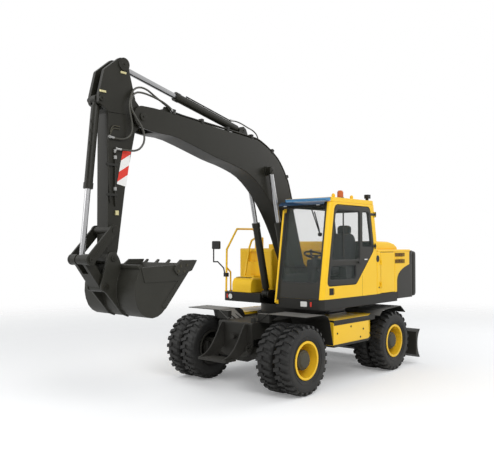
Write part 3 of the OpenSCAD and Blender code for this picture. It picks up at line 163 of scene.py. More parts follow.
@dataclass(frozen=True)
class Finish:
    """One finish: base colour and tint in patches, worn edges, dust near the ground, gloss and grain."""

    name: str
    base: Colour
    tint: Colour
    rough: float
    rough_spread: float = 0.12
    metallic: float = 0.0
    coat: float = 0.0
    specular: float = 0.5
    patch_scale: float = 3.0
    grain_scale: float = 90.0
    grain: float = 0.05
    worn: Optional[Colour] = None
    wear: float = 0.5
    dust: float = 0.0
    dust_top: float = 1.2
    alpha: float = 1.0

    def material(self) -> bpy.types.Material:
        """Returns the finish's material, made on first use.

        Returns:
            A node material that reads Object coordinates and the edge attribute.
        """
        label = f"{self.name}_finish"
        found = bpy.data.materials.get(label)
        if found:
            return found
        made = bpy.data.materials.new(label)
        made.use_nodes = True
        tree = made.node_tree
        shader = tree.nodes["Principled BSDF"]
        place = tree.nodes.new("ShaderNodeTexCoord").outputs["Object"]
        patches = self._noise(tree, place, self.patch_scale, PATCH_DETAIL)
        colour = self._mix(tree, patches, self.base, self.tint)
        if self.dust > 0:
            colour = self._dusted(tree, place, patches, colour)
        if self.worn is not None:
            colour = self._worn(tree, place, colour)
        tree.links.new(colour, shader.inputs["Base Color"])
        gloss = tree.nodes.new("ShaderNodeMapRange")
        set_inputs(gloss, {
            "To Min": max(LEAST_ROUGH, self.rough - self.rough_spread),
            "To Max": min(1.0, self.rough + self.rough_spread),
        })
        tree.links.new(patches, gloss.inputs["Value"])
        tree.links.new(gloss.outputs["Result"], shader.inputs["Roughness"])
        if self.grain > 0:
            bump = tree.nodes.new("ShaderNodeBump")
            set_inputs(bump, {"Strength": self.grain, "Distance": GRAIN_DEPTH})
            grain = self._noise(tree, place, self.grain_scale, GRAIN_DETAIL)
            tree.links.new(grain, bump.inputs["Height"])
            tree.links.new(bump.outputs["Normal"], shader.inputs["Normal"])
        set_inputs(shader, {
            "Metallic": self.metallic, "Specular IOR Level": self.specular, "Coat Weight": self.coat,
            "Coat Roughness": COAT_ROUGH, "Alpha": self.alpha,
        })
        return made

    @staticmethod
    def _noise(tree: Tree, place: Socket, scale: float, detail: float) -> Socket:
        """Adds a noise.

        Args:
            tree: the material's tree.
            place: the coordinates.
            scale: features in a metre.
            detail: how many finer layers it has.

        Returns:
            The noise's value.
        """
        noise = tree.nodes.new("ShaderNodeTexNoise")
        set_inputs(noise, {"Scale": scale, "Detail": detail})
        tree.links.new(place, noise.inputs["Vector"])
        return noise.outputs["Fac"]

    @staticmethod
    def _mix(tree: Tree, factor: Socket, first: Shade, second: Shade) -> Socket:
        """Mixes two colours.

        Args:
            tree: the material's tree.
            factor: how much of the second colour there is.
            first: a colour or a colour's socket.
            second: a colour or a colour's socket.

        Returns:
            The mixed colour.
        """
        mix = tree.nodes.new("ShaderNodeMix")
        mix.data_type = "RGBA"
        tree.links.new(factor, mix.inputs[0])
        for at, value in zip(MIX_COLOURS, (first, second)):
            if isinstance(value, Socket):
                tree.links.new(value, mix.inputs[at])
            else:
                mix.inputs[at].default_value = (*value, 1.0)
        return mix.outputs[MIX_RESULT]

    @staticmethod
    def _product(tree: Tree, first: Socket, second: Socket) -> Socket:
        """Multiplies two values.

        Args:
            tree: the material's tree.
            first: one value.
            second: the other value.

        Returns:
            Their product.
        """
        both = tree.nodes.new("ShaderNodeMath")
        both.operation = "MULTIPLY"
        tree.links.new(first, both.inputs[0])
        tree.links.new(second, both.inputs[1])
        return both.outputs[0]

    def _dusted(self, tree: Tree, place: Socket, patches: Socket, colour: Socket) -> Socket:
        """Lays pale dust that fades with height over a colour.

        Args:
            tree: the material's tree.
            place: the coordinates.
            patches: the noise that makes the dust patchy.
            colour: the clean colour.

        Returns:
            The dusty colour.
        """
        split = tree.nodes.new("ShaderNodeSeparateXYZ")
        tree.links.new(place, split.inputs[0])
        height = tree.nodes.new("ShaderNodeMapRange")
        set_inputs(height, {"From Max": self.dust_top, "To Min": self.dust, "To Max": 0.0})
        tree.links.new(split.outputs["Z"], height.inputs["Value"])
        return self._mix(tree, self._product(tree, height.outputs["Result"], patches), colour, DUST)

    def _worn(self, tree: Tree, place: Socket, colour: Socket) -> Socket:
        """Chips a colour where the mesh marks its edges.

        Args:
            tree: the material's tree.
            place: the coordinates.
            colour: the whole colour.

        Returns:
            The chipped colour.
        """
        edge = tree.nodes.new("ShaderNodeAttribute")
        edge.attribute_name = EDGE
        cut = tree.nodes.new("ShaderNodeMapRange")
        set_inputs(cut, {"From Min": CHIP_FROM, "From Max": CHIP_TO, "To Max": self.wear})
        tree.links.new(self._noise(tree, place, CHIP_SCALE, CHIP_DETAIL), cut.inputs["Value"])
        chips = self._product(tree, edge.outputs["Fac"], cut.outputs["Result"])
        return self._mix(tree, chips, colour, self.worn)


YELLOW = Finish("machine_yellow", (0.97, 0.60, 0.018), (0.92, 0.55, 0.015), 0.36, 0.07, coat=0.05,
                specular=0.3, worn=(0.95, 0.72, 0.20), wear=0.35, dust=0.10)
BOOM_GREY = Finish("boom_grey", (0.013, 0.0125, 0.0090), (0.020, 0.019, 0.014), 0.38, 0.10, specular=0.22,
                   worn=(0.09, 0.085, 0.07), wear=0.45)
BUCKET_GREY = Finish("bucket_grey", (0.018, 0.0175, 0.013), (0.030, 0.029, 0.023), 0.46, 0.12, specular=0.25,
                     worn=(0.24, 0.22, 0.20), wear=0.7, patch_scale=5.0)
FRAME_GREY = Finish("frame_grey", (0.015, 0.0148, 0.0125), (0.024, 0.023, 0.020), 0.48, 0.10, specular=0.2,
                    worn=(0.08, 0.075, 0.07), wear=0.5, dust=0.12)
PANEL_GREY = Finish("panel_grey", (0.020, 0.019, 0.0155), (0.028, 0.027, 0.022), 0.42, 0.08, specular=0.25,
                    worn=(0.12, 0.11, 0.10), wear=0.4)
STEP_GREY = Finish("step_grey", (0.016, 0.0158, 0.0135), (0.026, 0.025, 0.022), 0.46, 0.10, specular=0.25,
                   worn=(0.32, 0.31, 0.30), wear=0.9, dust=0.12)
FENDER_TOP = Finish("fender_top", (0.130, 0.128, 0.120), (0.170, 0.167, 0.157), 0.60, 0.10,
                    worn=(0.24, 0.24, 0.23), dust=0.3, dust_top=1.8)
RUBBER = Finish("tyre_rubber", (0.009, 0.009, 0.009), (0.017, 0.017, 0.0165), 0.56, 0.10, specular=0.35,
                grain=0.15, worn=(0.040, 0.039, 0.037), wear=0.8, dust=0.07)
# Hose rubber: the lighter olive tint is partly the hose's own colour and partly painted sheen for its
# highlights.
HOSE = Finish("hose_rubber", (0.030, 0.029, 0.022), (0.050, 0.048, 0.036), 0.36, 0.10, grain=0.12)
CHROME = Finish("rod_chrome", (0.42, 0.42, 0.42), (0.34, 0.34, 0.35), 0.20, 0.06, metallic=1.0, grain=0.0)
STEEL = Finish("bare_steel", (0.42, 0.42, 0.41), (0.30, 0.30, 0.29), 0.38, 0.12, metallic=1.0)
ZINC = Finish("zinc_yellow", (0.62, 0.56, 0.30), (0.50, 0.46, 0.26), 0.36, 0.10, metallic=0.8)
PLASTIC = Finish("black_plastic", (0.014, 0.014, 0.014), (0.022, 0.022, 0.022), 0.52, 0.10, specular=0.25,
                 grain=0.06, grain_scale=120.0)
TRIM = Finish("cab_trim", (0.026, 0.029, 0.026), (0.036, 0.040, 0.036), 0.70, 0.08, specular=0.2, grain=0.05)
SEAL = Finish("window_seal", (0.010, 0.010, 0.010), (0.016, 0.016, 0.016), 0.60, 0.08, grain=0.1)
GLASS = Finish("window_glass", (0.10, 0.13, 0.115), (0.13, 0.16, 0.145), 0.05, 0.02, grain=0.0, alpha=0.09)
VISOR = Finish("visor_blue", (0.012, 0.045, 0.10), (0.02, 0.06, 0.13), 0.12, 0.03, grain=0.0, alpha=0.85)
VISOR_TOP = Finish("visor_top", (0.05, 0.22, 0.44), (0.08, 0.27, 0.50), 0.14, 0.04, coat=0.3, grain=0.0)
FABRIC = Finish("seat_fabric", (0.030, 0.031, 0.034), (0.048, 0.049, 0.053), 0.85, 0.08, grain=0.5,
                grain_scale=420.0)
LENS = Finish("lamp_lens", (0.80, 0.80, 0.76), (0.70, 0.71, 0.68), 0.12, 0.04, grain=0.3, grain_scale=120.0)
AMBER = Finish("amber_lens", (0.62, 0.14, 0.012), (0.50, 0.10, 0.008), 0.18, 0.05, grain=0.2)
# Dark brown for the louvre bars: painted shade inside the louvre openings.
LOUVRE_SHADE = Finish("louvre_brown", (0.085, 0.046, 0.012), (0.12, 0.065, 0.016), 0.6, 0.1, specular=0.2)
HUB_GREY = Finish("hub_grey", (0.040, 0.037, 0.024), (0.058, 0.054, 0.036), 0.50, 0.10, specular=0.3,
                  worn=(0.12, 0.11, 0.08), dust=0.05)
RED = Finish("signal_red", (0.68, 0.030, 0.012), (0.60, 0.024, 0.010), 0.34, 0.06)
WHITE = Finish("signal_white", (0.82, 0.81, 0.79), (0.74, 0.73, 0.70), 0.36, 0.06)
IRON = Finish("engine_iron", (0.10, 0.10, 0.095), (0.15, 0.145, 0.14), 0.60, 0.12, metallic=0.3, grain=0.3)


@dataclass
class Studio:
    """Floor, light and camera round the machine."""

    camera_at: Point = (8.835, 6.693, 2.186)
    yaw_deg: float = 221.3
    pitch_deg: float = 1.14
    focal_px: float = 638.2
    image_w_px: float = 494.0
    sensor_mm: float = 36.0
    sight: float = 200.0
    floor_r: float = 40.0
    floor_sides: int = 64
    floor_tint: float = 0.93
    floor_rough: float = 0.9
    floor_specular: float = 0.1
    floor_glow: float = 0.16
    fade: Flat = (5.0, 16.0)
    sky: float = 0.56
    sky_tint: Colour = (0.96, 0.98, 1.0)
    lamps: tuple[tuple[Point, float, float], ...] = (
        ((5.5, 8.5, 8.0), 6.0, 520.0),
        ((9.0, -3.0, 6.0), 6.0, 240.0),
        ((-8.0, 4.0, 7.0), 6.0, 220.0),
    )
    aim: Point = (0.6, 0.0, 1.6)

    def build(self) -> None:
        """Makes the whole studio."""
        self._camera()
        self._world()
        self._floor()
        for at, size, power in self.lamps:
            self._lamp(at, size, power)
        bpy.context.scene.view_settings.view_transform = "Standard"

    def _camera(self) -> None:
        """Puts the camera where the photograph was taken."""
        lens = bpy.data.cameras.new("photo_camera")
        lens.sensor_width = self.sensor_mm
        lens.lens = self.focal_px / self.image_w_px * self.sensor_mm
        lens.clip_end = self.sight
        camera = bpy.data.objects.new("photo_camera", lens)
        camera.location = self.camera_at
        camera.rotation_euler = (math.radians(90 + self.pitch_deg), 0, math.radians(self.yaw_deg - 90))
        bpy.context.scene.collection.objects.link(camera)
        bpy.context.scene.camera = camera

    def _lamp(self, at: Point, size: float, power: float) -> None:
        """Adds one soft area lamp that points at the machine.

        Args:
            at: the lamp's place.
            size: its side in metres.
            power: its power in watts.
        """
        data = bpy.data.lights.new("soft_box", "AREA")
        data.size = size
        data.energy = power
        lamp = bpy.data.objects.new("soft_box", data)
        lamp.location = at
        lamp.rotation_euler = (Vector(self.aim) - Vector(at)).to_track_quat("-Z", "Y").to_euler()
        bpy.context.scene.collection.objects.link(lamp)

    def _world(self) -> None:
        """White to the eye and in reflections, plain soft light on the machine."""
        world = bpy.data.worlds.new("studio")
        bpy.context.scene.world = world
        world.use_nodes = True
        tree = world.node_tree
        seen = tree.nodes["Background"]
        set_inputs(seen, {"Color": (1, 1, 1, 1), "Strength": 1.0})
        light = tree.nodes.new("ShaderNodeBackground")
        set_inputs(light, {"Color": (*self.sky_tint, 1.0), "Strength": self.sky})
        path = tree.nodes.new("ShaderNodeLightPath")
        either = path.outputs["Is Camera Ray"]
        for ray in ("Is Glossy Ray", "Is Transmission Ray"):
            most = tree.nodes.new("ShaderNodeMath")
            most.operation = "MAXIMUM"
            tree.links.new(either, most.inputs[0])
            tree.links.new(path.outputs[ray], most.inputs[1])
            either = most.outputs[0]
        mixed = self._either(tree, either, light.outputs[0], seen.outputs[0])
        tree.links.new(mixed, tree.nodes["World Output"].inputs["Surface"])

    @staticmethod
    def _either(tree: Tree, factor: Socket, first: Socket, second: Socket) -> Socket:
        """Mixes two shaders.

        Args:
            tree: their tree.
            factor: how much of the second there is.
            first: one shader.
            second: the other shader.

        Returns:
            The mixed shader.
        """
        mix = tree.nodes.new("ShaderNodeMixShader")
        for at, source in enumerate((factor, first, second)):
            tree.links.new(source, mix.inputs[at])
        return mix.outputs[0]

    def _floor(self) -> None:
        """A pale floor that keeps the shadow and fades into the white behind."""
        mesh = bpy.data.meshes.new("floor")
        bm = bmesh.new()
        bmesh.ops.create_circle(bm, cap_ends=True, segments=self.floor_sides, radius=self.floor_r)
        bm.to_mesh(mesh)
        bm.free()
        floor = bpy.data.objects.new("floor", mesh)
        bpy.context.scene.collection.objects.link(floor)
        mesh.materials.append(self._floor_white())

    def _floor_white(self) -> bpy.types.Material:
        """Makes the floor's material.

        Returns:
            A white that glows a little to the eye and is clear far out.
        """
        made = bpy.data.materials.new("floor_white")
        made.use_nodes = True
        tree = made.node_tree
        shader = tree.nodes["Principled BSDF"]
        set_inputs(shader, {
            "Base Color": (*[self.floor_tint] * 3, 1), "Roughness": self.floor_rough,
            "Specular IOR Level": self.floor_specular, "Emission Color": (1, 1, 1, 1),
        })
        seen = tree.nodes.new("ShaderNodeMath")
        seen.operation = "MULTIPLY"
        seen.inputs[1].default_value = self.floor_glow
        tree.links.new(tree.nodes.new("ShaderNodeLightPath").outputs["Is Camera Ray"], seen.inputs[0])
        tree.links.new(seen.outputs[0], shader.inputs["Emission Strength"])
        far = tree.nodes.new("ShaderNodeVectorMath")
        far.operation = "LENGTH"
        tree.links.new(tree.nodes.new("ShaderNodeTexCoord").outputs["Object"], far.inputs[0])
        fade = tree.nodes.new("ShaderNodeMapRange")
        fade.interpolation_type = "SMOOTHSTEP"
        set_inputs(fade, {"From Min": self.fade[0], "From Max": self.fade[1]})
        tree.links.new(far.outputs["Value"], fade.inputs["Value"])
        clear = tree.nodes.new("ShaderNodeBsdfTransparent")
        mixed = self._either(tree, fade.outputs["Result"], shader.outputs[0], clear.outputs[0])
        tree.links.new(mixed, tree.nodes["Material Output"].inputs["Surface"])
        return made


def evaluated(piece: Object) -> bpy.types.Mesh:
    """Applies an object's modifiers.

    Args:
        piece: the object, which stays as it is.

    Returns:
        The result as a plain mesh.
    """
    graph = bpy.context.evaluated_depsgraph_get()
    graph.update()
    return bpy.data.meshes.new_from_object(piece.evaluated_get(graph), depsgraph=graph)


def linked(name: str, mesh: bpy.types.Mesh) -> Object:
    """Shows a mesh in the scene.

    Args:
        name: the object's name.
        mesh: its mesh.

    Returns:
        The new object.
    """
    made = bpy.data.objects.new(name, mesh)
    bpy.context.scene.collection.objects.link(made)
    return made


def smooth_normals(piece: Object, sharp_deg: float = 40.0) -> None:
    """Gives a piece smooth normals that keep flats flat and sharp edges sharp.

    Args:
        piece: the object.
        sharp_deg: the angle from which an edge counts as sharp.
    """
    piece.data.polygons.foreach_set("use_smooth", [True] * len(piece.data.polygons))
    piece.data.set_sharp_from_angle(angle=math.radians(sharp_deg))
    weighted = piece.modifiers.new("normals", "WEIGHTED_NORMAL")
    weighted.keep_sharp = True
    mesh = evaluated(piece)
    piece.modifiers.clear()
    piece.data = mesh


def handed_over(piece: Object, body: str) -> Object:
    """Puts a finished piece on its body.

    Args:
        piece: the finished object.
        body: the body that it rides on.

    Returns:
        The piece itself.
    """
    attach(piece, body)
    LOG.info("made %s: %d faces", piece.name, len(piece.data.polygons))
    return piece


@dataclass
class Probe:
    """Finds points on the CAD solids along straight lines."""

    far: float = 9.0
    trees: dict[str, BVHTree] = field(default_factory=dict)

    def hit(self, node: str, start: Point, aim: Point) -> Optional[Vector]:
        """Finds where a line first meets a node.

        Args:
            node: the CAD node's name.
            start: where the line starts.
            aim: the way it goes.

        Returns:
            The point, or None where the line misses.
        """
        if node not in self.trees:
            mesh = frame["nodes"][node].data
            corners = [vertex.co for vertex in mesh.vertices]
            self.trees[node] = BVHTree.FromPolygons(corners, [face.vertices for face in mesh.polygons])
        return self.trees[node].ray_cast(Vector(start), Vector(aim))[0]

    def side(self, node: str, x: float, z: float, side: Side) -> Optional[float]:
        """Returns the y of a node's outermost surface at a place seen from one side."""
        found = self.hit(node, (x, side.value * self.far, z), (0.0, -side.value, 0.0))
        return None if found is None else found.y

    def front(self, node: str, y: float, z: float) -> Optional[float]:
        """Returns the x of a node's foremost surface."""
        found = self.hit(node, (self.far, y, z), BACKWARD)
        return None if found is None else found.x


PROBE = Probe()


@dataclass(frozen=True)
class Outfit:
    """What some CAD nodes wear: their finishes, slot, edge rounding, and where the finish changes."""

    nodes: tuple[str, ...]
    finishes: tuple[Finish, ...]
    slot: Slot
    round_w: float
    rule: Optional[FaceRule] = None
    cuts: tuple[Cut, ...] = ()


@dataclass
class Dresser:
    """Turns a CAD node into a piece with rounded edges, smooth normals and real finishes."""

    flat_deg: float = 0.6
    sharp_deg: float = 28.0
    segments: int = 2
    share: float = 0.32
    quad: int = 4
    body_of: dict[str, str] = field(default_factory=dict)

    def __post_init__(self) -> None:
        """Looks up which body carries each node."""
        for body, nodes in frame["record"]["behaviour"]["bodies"].items():
            for node in nodes:
                self.body_of[node] = body

    def dress(self, node: str, outfit: Outfit) -> None:
        """Makes the piece that stands for a node, on the node's body.

        Args:
            node: the CAD node's name.
            outfit: what it wears.
        """
        piece = linked(f"{node}_look", frame["nodes"][node].data.copy())
        piece.data.materials.clear()
        self._clean(piece.data, outfit.round_w, outfit.cuts)
        self._round(piece, outfit.round_w)
        for finish in outfit.finishes:
            piece.data.materials.append(finish.material())
        if outfit.rule is not None:
            for face in piece.data.polygons:
                face.material_index = outfit.rule(face.center, face.normal)
        smooth_normals(piece)
        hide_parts(node)
        handed_over(piece, self.body_of[node])

    def _clean(self, mesh: bpy.types.Mesh, width: float, cuts: Sequence[Cut]) -> None:
        """Merges loose triangles, joins flat faces, cuts the colour lines and weighs the edges to round.

        Args:
            mesh: the piece's mesh.
            width: the edge rounding in metres.
            cuts: planes where the finish changes across a flat face.
        """
        bm = bmesh.new()
        bm.from_mesh(mesh)
        bmesh.ops.remove_doubles(bm, verts=bm.verts, dist=MERGE)
        bmesh.ops.dissolve_limit(bm, angle_limit=math.radians(self.flat_deg), verts=bm.verts, edges=bm.edges)
        for at, normal in cuts:
            whole = [*bm.verts, *bm.edges, *bm.faces]
            bmesh.ops.bisect_plane(bm, geom=whole, dist=MERGE, plane_co=at, plane_no=normal)
        bmesh.ops.triangulate(bm, faces=[face for face in bm.faces if len(face.verts) > self.quad])
        weight = bm.edges.layers.float.new("bevel_weight_edge")
        limit = math.radians(self.sharp_deg)
        for edge in bm.edges:
            if len(edge.link_faces) != 2 or edge.calc_face_angle(0.0) < limit:
                continue
            near = [e.calc_length() for v in edge.verts for e in v.link_edges if e is not edge]
            room = min(near, default=width) * self.share
            edge[weight] = max(0.0, min(1.0, room / width))
        bm.to_mesh(mesh)
        bm.free()

    def _round(self, piece: Object, width: float) -> None:
        """Rounds the weighed edges and marks the new faces with the edge attribute.

        Args:
            piece: the piece, without materials.
            width: the edge rounding in metres.
        """
        bevel = piece.modifiers.new("round", "BEVEL")
        bevel.limit_method = "WEIGHT"
        bevel.width = width
        bevel.segments = self.segments
        bevel.use_clamp_overlap = False
        bevel.material = 1
        piece.data.materials.append(None)
        piece.data.materials.append(None)
        mesh = evaluated(piece)
        mesh.materials.clear()
        marks = [float(face.material_index == 1) for face in mesh.polygons]
        mesh.attributes.new(EDGE, "FLOAT", "FACE").data.foreach_set("value", marks)
        mesh.polygons.foreach_set("material_index", [0] * len(mesh.polygons))
        piece.modifiers.clear()
        piece.data = mesh


def round_angles(count: int) -> list[float]:
    """Returns the angles of a regular polygon's corners."""
    return [math.tau * i / count for i in range(count)]


class Piece:
    """A mesh under construction, put together from turned forms, pipes, blocks and plates."""

    segments = 2
    chamfer_share = 0.25
    chamfer_most = 0.2

    def __init__(self, name: str, body: str, slot: Slot, finish: Finish, round_w: float = 0.0) -> None:
        """Starts an empty piece.

        Args:
            name: the piece's name.
            body: the body that it rides on.
            slot: the record's material slot.
            finish: its finish.
            round_w: the rounding of its sharp edges in metres.
        """
        self.name = name
        self.body = body
        self.slot = slot
        self.finish = finish
        self.round_w = round_w
        self.bm = bmesh.new()

    def turned(
        self, at: Point, axis: Point, profile: Sequence[Flat], sides: int = 24, closed: bool = False,
    ) -> None:
        """Adds a turned form.

        Args:
            at: the foot of its axis.
            axis: the way the axis points.
            profile: radius and height along the axis, from the foot to the tip.
            sides: how many sides its circles have.
            closed: whether the profile is a loop, which makes a ring.
        """
        turn = Vector(axis).normalized().to_track_quat("Z", "Y").to_matrix()
        rings = []
        for radius, height in profile:
            corners = [(math.cos(a) * radius, math.sin(a) * radius, height) for a in round_angles(sides)]
            rings.append([self.bm.verts.new(Vector(at) + turn @ Vector(corner)) for corner in corners])
        self._skin(rings, closed)

    def rod(self, start: Point, end: Point, radius: float, sides: int = 16) -> None:
        """Adds a round bar with chamfered ends.

        Args:
            start: the middle of its first end.
            end: the middle of its other end.
            radius: its radius.
            sides: how many sides its section has.
        """
        along = Vector(end) - Vector(start)
        chamfer = min(radius * self.chamfer_share, along.length * self.chamfer_most)
        profile = (
            (radius - chamfer, 0.0), (radius, chamfer),
            (radius, along.length - chamfer), (radius - chamfer, along.length),
        )
        self.turned(start, along, profile, sides)

    def pipe(self, path: Sequence[Point], radius: float, sides: int = 12, closed: bool = False) -> None:
        """Adds a pipe along a path.

        Args:
            path: the points of its middle line.
            radius: its outer radius.
            sides: how many sides its section has.
            closed: whether the path comes back to its start.
        """
        points = [Vector(p) for p in path]
        count = len(points)
        rings = []
        across = None
        for i, point in enumerate(points):
            before = points[i - 1] if i or closed else point
            after = points[(i + 1) % count] if i < count - 1 or closed else point
            along = (after - before).normalized()
            if across is None:
                across = along.orthogonal().normalized()
            across = (across - along * across.dot(along)).normalized()
            third = along.cross(across)
            ways = [across * math.cos(a) + third * math.sin(a) for a in round_angles(sides)]
            rings.append([self.bm.verts.new(point + way * radius) for way in ways])
        self._skin(rings, closed)

    def block(self, low: Point, high: Point) -> None:
        """Adds a box between two corners.

        Args:
            low: the corner with the lowest coordinates.
            high: the corner with the highest coordinates.
        """
        middle = (Vector(low) + Vector(high)) / 2
        size = Vector(high) - Vector(low)
        place = Matrix.Translation(middle) @ Matrix.Diagonal((*size, 1.0))
        bmesh.ops.create_cube(self.bm, size=1.0, matrix=place)

    def plate(self, outline: Sequence[Flat], y_from: float, y_to: float) -> None:
        """Adds an upright plate.

        Args:
            outline: its corners in x and z.
            y_from: the y of its first face.
            y_to: the y of its other face.
        """
        self._skin([[self.bm.verts.new((x, y, z)) for x, z in outline] for y in (y_from, y_to)])

    def done(self) -> Optional[Object]:
        """Finishes the piece.

        Returns:
            The piece on its body, or None where nothing was added.
        """
        made = self.loose()
        return None if made is None else handed_over(made, self.body)

    def loose(self) -> Optional[Object]:
        """Finishes the piece without handing it over.

        Returns:
            The finished object, or None where nothing was added.
        """
        if not self.bm.faces:
            LOG.warning("%s is empty", self.name)
            return None
        bmesh.ops.recalc_face_normals(self.bm, faces=self.bm.faces)
        mesh = bpy.data.meshes.new(self.name)
        self.bm.to_mesh(mesh)
        self.bm.free()
        made = linked(self.name, mesh)
        if self.round_w > 0:
            bevel = made.modifiers.new("round", "BEVEL")
            bevel.width = self.round_w
            bevel.segments = self.segments
            made.data = evaluated(made)
            made.modifiers.clear()
        made.data.materials.append(self.finish.material())
        smooth_normals(made)
        return made

    def _skin(self, rings: list[list[bmesh.types.BMVert]], closed: bool = False) -> None:
        """Joins rings of points with faces.

        Args:
            rings: the rings, each with the same number of points.
            closed: whether the last ring joins the first; if not, the ends are closed with faces.
        """
        pairs = list(zip(rings, rings[1:]))
        if closed:
            pairs.append((rings[-1], rings[0]))
        for low, high in pairs:
            for i in range(len(low)):
                j = (i + 1) % len(low)
                self.bm.faces.new((low[i], low[j], high[j], high[i]))
        if not closed:
            self.bm.faces.new(list(reversed(rings[0])))
            self.bm.faces.new(rings[-1])


class Pattern:
    """A geometry node tree with named inputs that repeats a small shape."""

    head_sides = 6
    washer_sides = 14

    def __init__(self, name: str) -> None:
        """Starts a tree with one geometry input and one output.

        Args:
            name: the tree's name.
        """
        self.group = bpy.data.node_groups.new(name, "GeometryNodeTree")
        self.ids: dict[str, str] = {}
        face = self.group.interface
        face.new_socket("Geometry", in_out="INPUT", socket_type="NodeSocketGeometry")
        face.new_socket("Geometry", in_out="OUTPUT", socket_type="NodeSocketGeometry")
        self.source = self.group.nodes.new("NodeGroupInput")
        self.sink = self.group.nodes.new("NodeGroupOutput")

    @property
    def fed(self) -> Socket:
        """The geometry that feeds the tree."""
        return self.source.outputs["Geometry"]

    def size(self, name: str) -> Socket:
        """Returns the socket of a new named input that is a length."""
        return self._input(name, "NodeSocketFloat")

    def count(self) -> Socket:
        """Returns the socket of a new input for how many there are."""
        return self._input("Count", "NodeSocketInt")

    def vector(self, name: str) -> Socket:
        """Returns the socket of a new named input that is a vector."""
        return self._input(name, "NodeSocketVector")

    def _input(self, name: str, kind: str) -> Socket:
        """Adds a named input and notes its identifier.

        Args:
            name: the input's name.
            kind: its socket type.

        Returns:
            Its socket in the tree.
        """
        self.ids[name] = self.group.interface.new_socket(name, in_out="INPUT", socket_type=kind).identifier
        return self.source.outputs[name]

    def node(self, kind: str, inputs: dict[Union[str, int], object], **settings: object) -> bpy.types.Node:
        """Adds a node.

        Args:
            kind: the node's type.
            inputs: a socket, a list of sockets or a plain value for each input.
            settings: the node's own options.

        Returns:
            The node.
        """
        made = self.group.nodes.new(kind)
        for name, value in settings.items():
            setattr(made, name, value)
        for name, value in inputs.items():
            for one in value if isinstance(value, list) else [value]:
                if isinstance(one, Socket):
                    self.group.links.new(one, made.inputs[name])
                else:
                    made.inputs[name].default_value = one
        return made

    def bolt(self) -> Socket:
        """Adds a hexagon head on a round washer, each half sunk into what carries it.

        Returns:
            The bolt's geometry.
        """
        head = self.node("GeometryNodeMeshCylinder", {
            "Vertices": self.head_sides, "Radius": self.size("Head radius"), "Depth": self.size("Head depth"),
        })
        washer = self.node("GeometryNodeMeshCylinder", {
            "Vertices": self.washer_sides, "Radius": self.size("Washer radius"),
            "Depth": self.size("Washer depth"),
        })
        both = [head.outputs["Mesh"], washer.outputs["Mesh"]]
        return self.node("GeometryNodeJoinGeometry", {"Geometry": both}).outputs["Geometry"]

    def box(self, name: str) -> Socket:
        """Returns the geometry of a box whose size is a new named input."""
        return self.node("GeometryNodeMeshCube", {"Size": self.vector(name)}).outputs["Mesh"]

    def turn(self, way: Socket) -> Socket:
        """Returns the rotation that turns the z axis to a way."""
        return self.node("FunctionNodeAlignRotationToVector", {"Vector": way}, axis="Z").outputs[0]

    def spread(self, points: Socket, shape: Socket, turn: Optional[Socket] = None) -> Socket:
        """Puts a shape on each point.

        Args:
            points: the points.
            shape: the shape's geometry.
            turn: the shape's rotation, where it has one.

        Returns:
            The instances.
        """
        inputs = {"Points": points, "Instance": shape}
        if turn is not None:
            inputs["Rotation"] = turn
        return self.node("GeometryNodeInstanceOnPoints", inputs).outputs["Instances"]

    def on_axle(self, shape: Socket) -> Socket:
        """Turns a shape's z axis to the new input Aim and moves it to the new input Centre.

        Args:
            shape: a geometry round the z axis.

        Returns:
            The moved geometry.
        """
        moved = self.node("GeometryNodeTransform", {
            "Geometry": shape, "Rotation": self.turn(self.vector("Aim")),
            "Translation": self.vector("Centre"),
        })
        return moved.outputs["Geometry"]

    def close(self, shape: Socket) -> "Pattern":
        """Ends the tree with real geometry and its material.

        Args:
            shape: the instances.

        Returns:
            The pattern itself.
        """
        real = self.node("GeometryNodeRealizeInstances", {"Geometry": shape})
        dressed = self.node("GeometryNodeSetMaterial", {
            "Geometry": real.outputs["Geometry"], "Material": self._input("Material", "NodeSocketMaterial"),
        })
        self.group.links.new(dressed.outputs["Geometry"], self.sink.inputs["Geometry"])
        return self

    def run(self, carrier: Object, values: dict[str, object], finish: Finish) -> Object:
        """Runs the tree on an object and leaves a plain mesh.

        Args:
            carrier: the object whose mesh feeds the tree.
            values: the named inputs' values.
            finish: the finish of the result.

        Returns:
            The carrier, with the result as its mesh.
        """
        modifier = carrier.modifiers.new("pattern", "NODES")
        modifier.node_group = self.group
        for name, value in {**values, "Material": finish.material()}.items():
            modifier[self.ids[name]] = value
        mesh = evaluated(carrier)
        carrier.modifiers.clear()
        carrier.data = mesh
        smooth_normals(carrier)
        return carrier


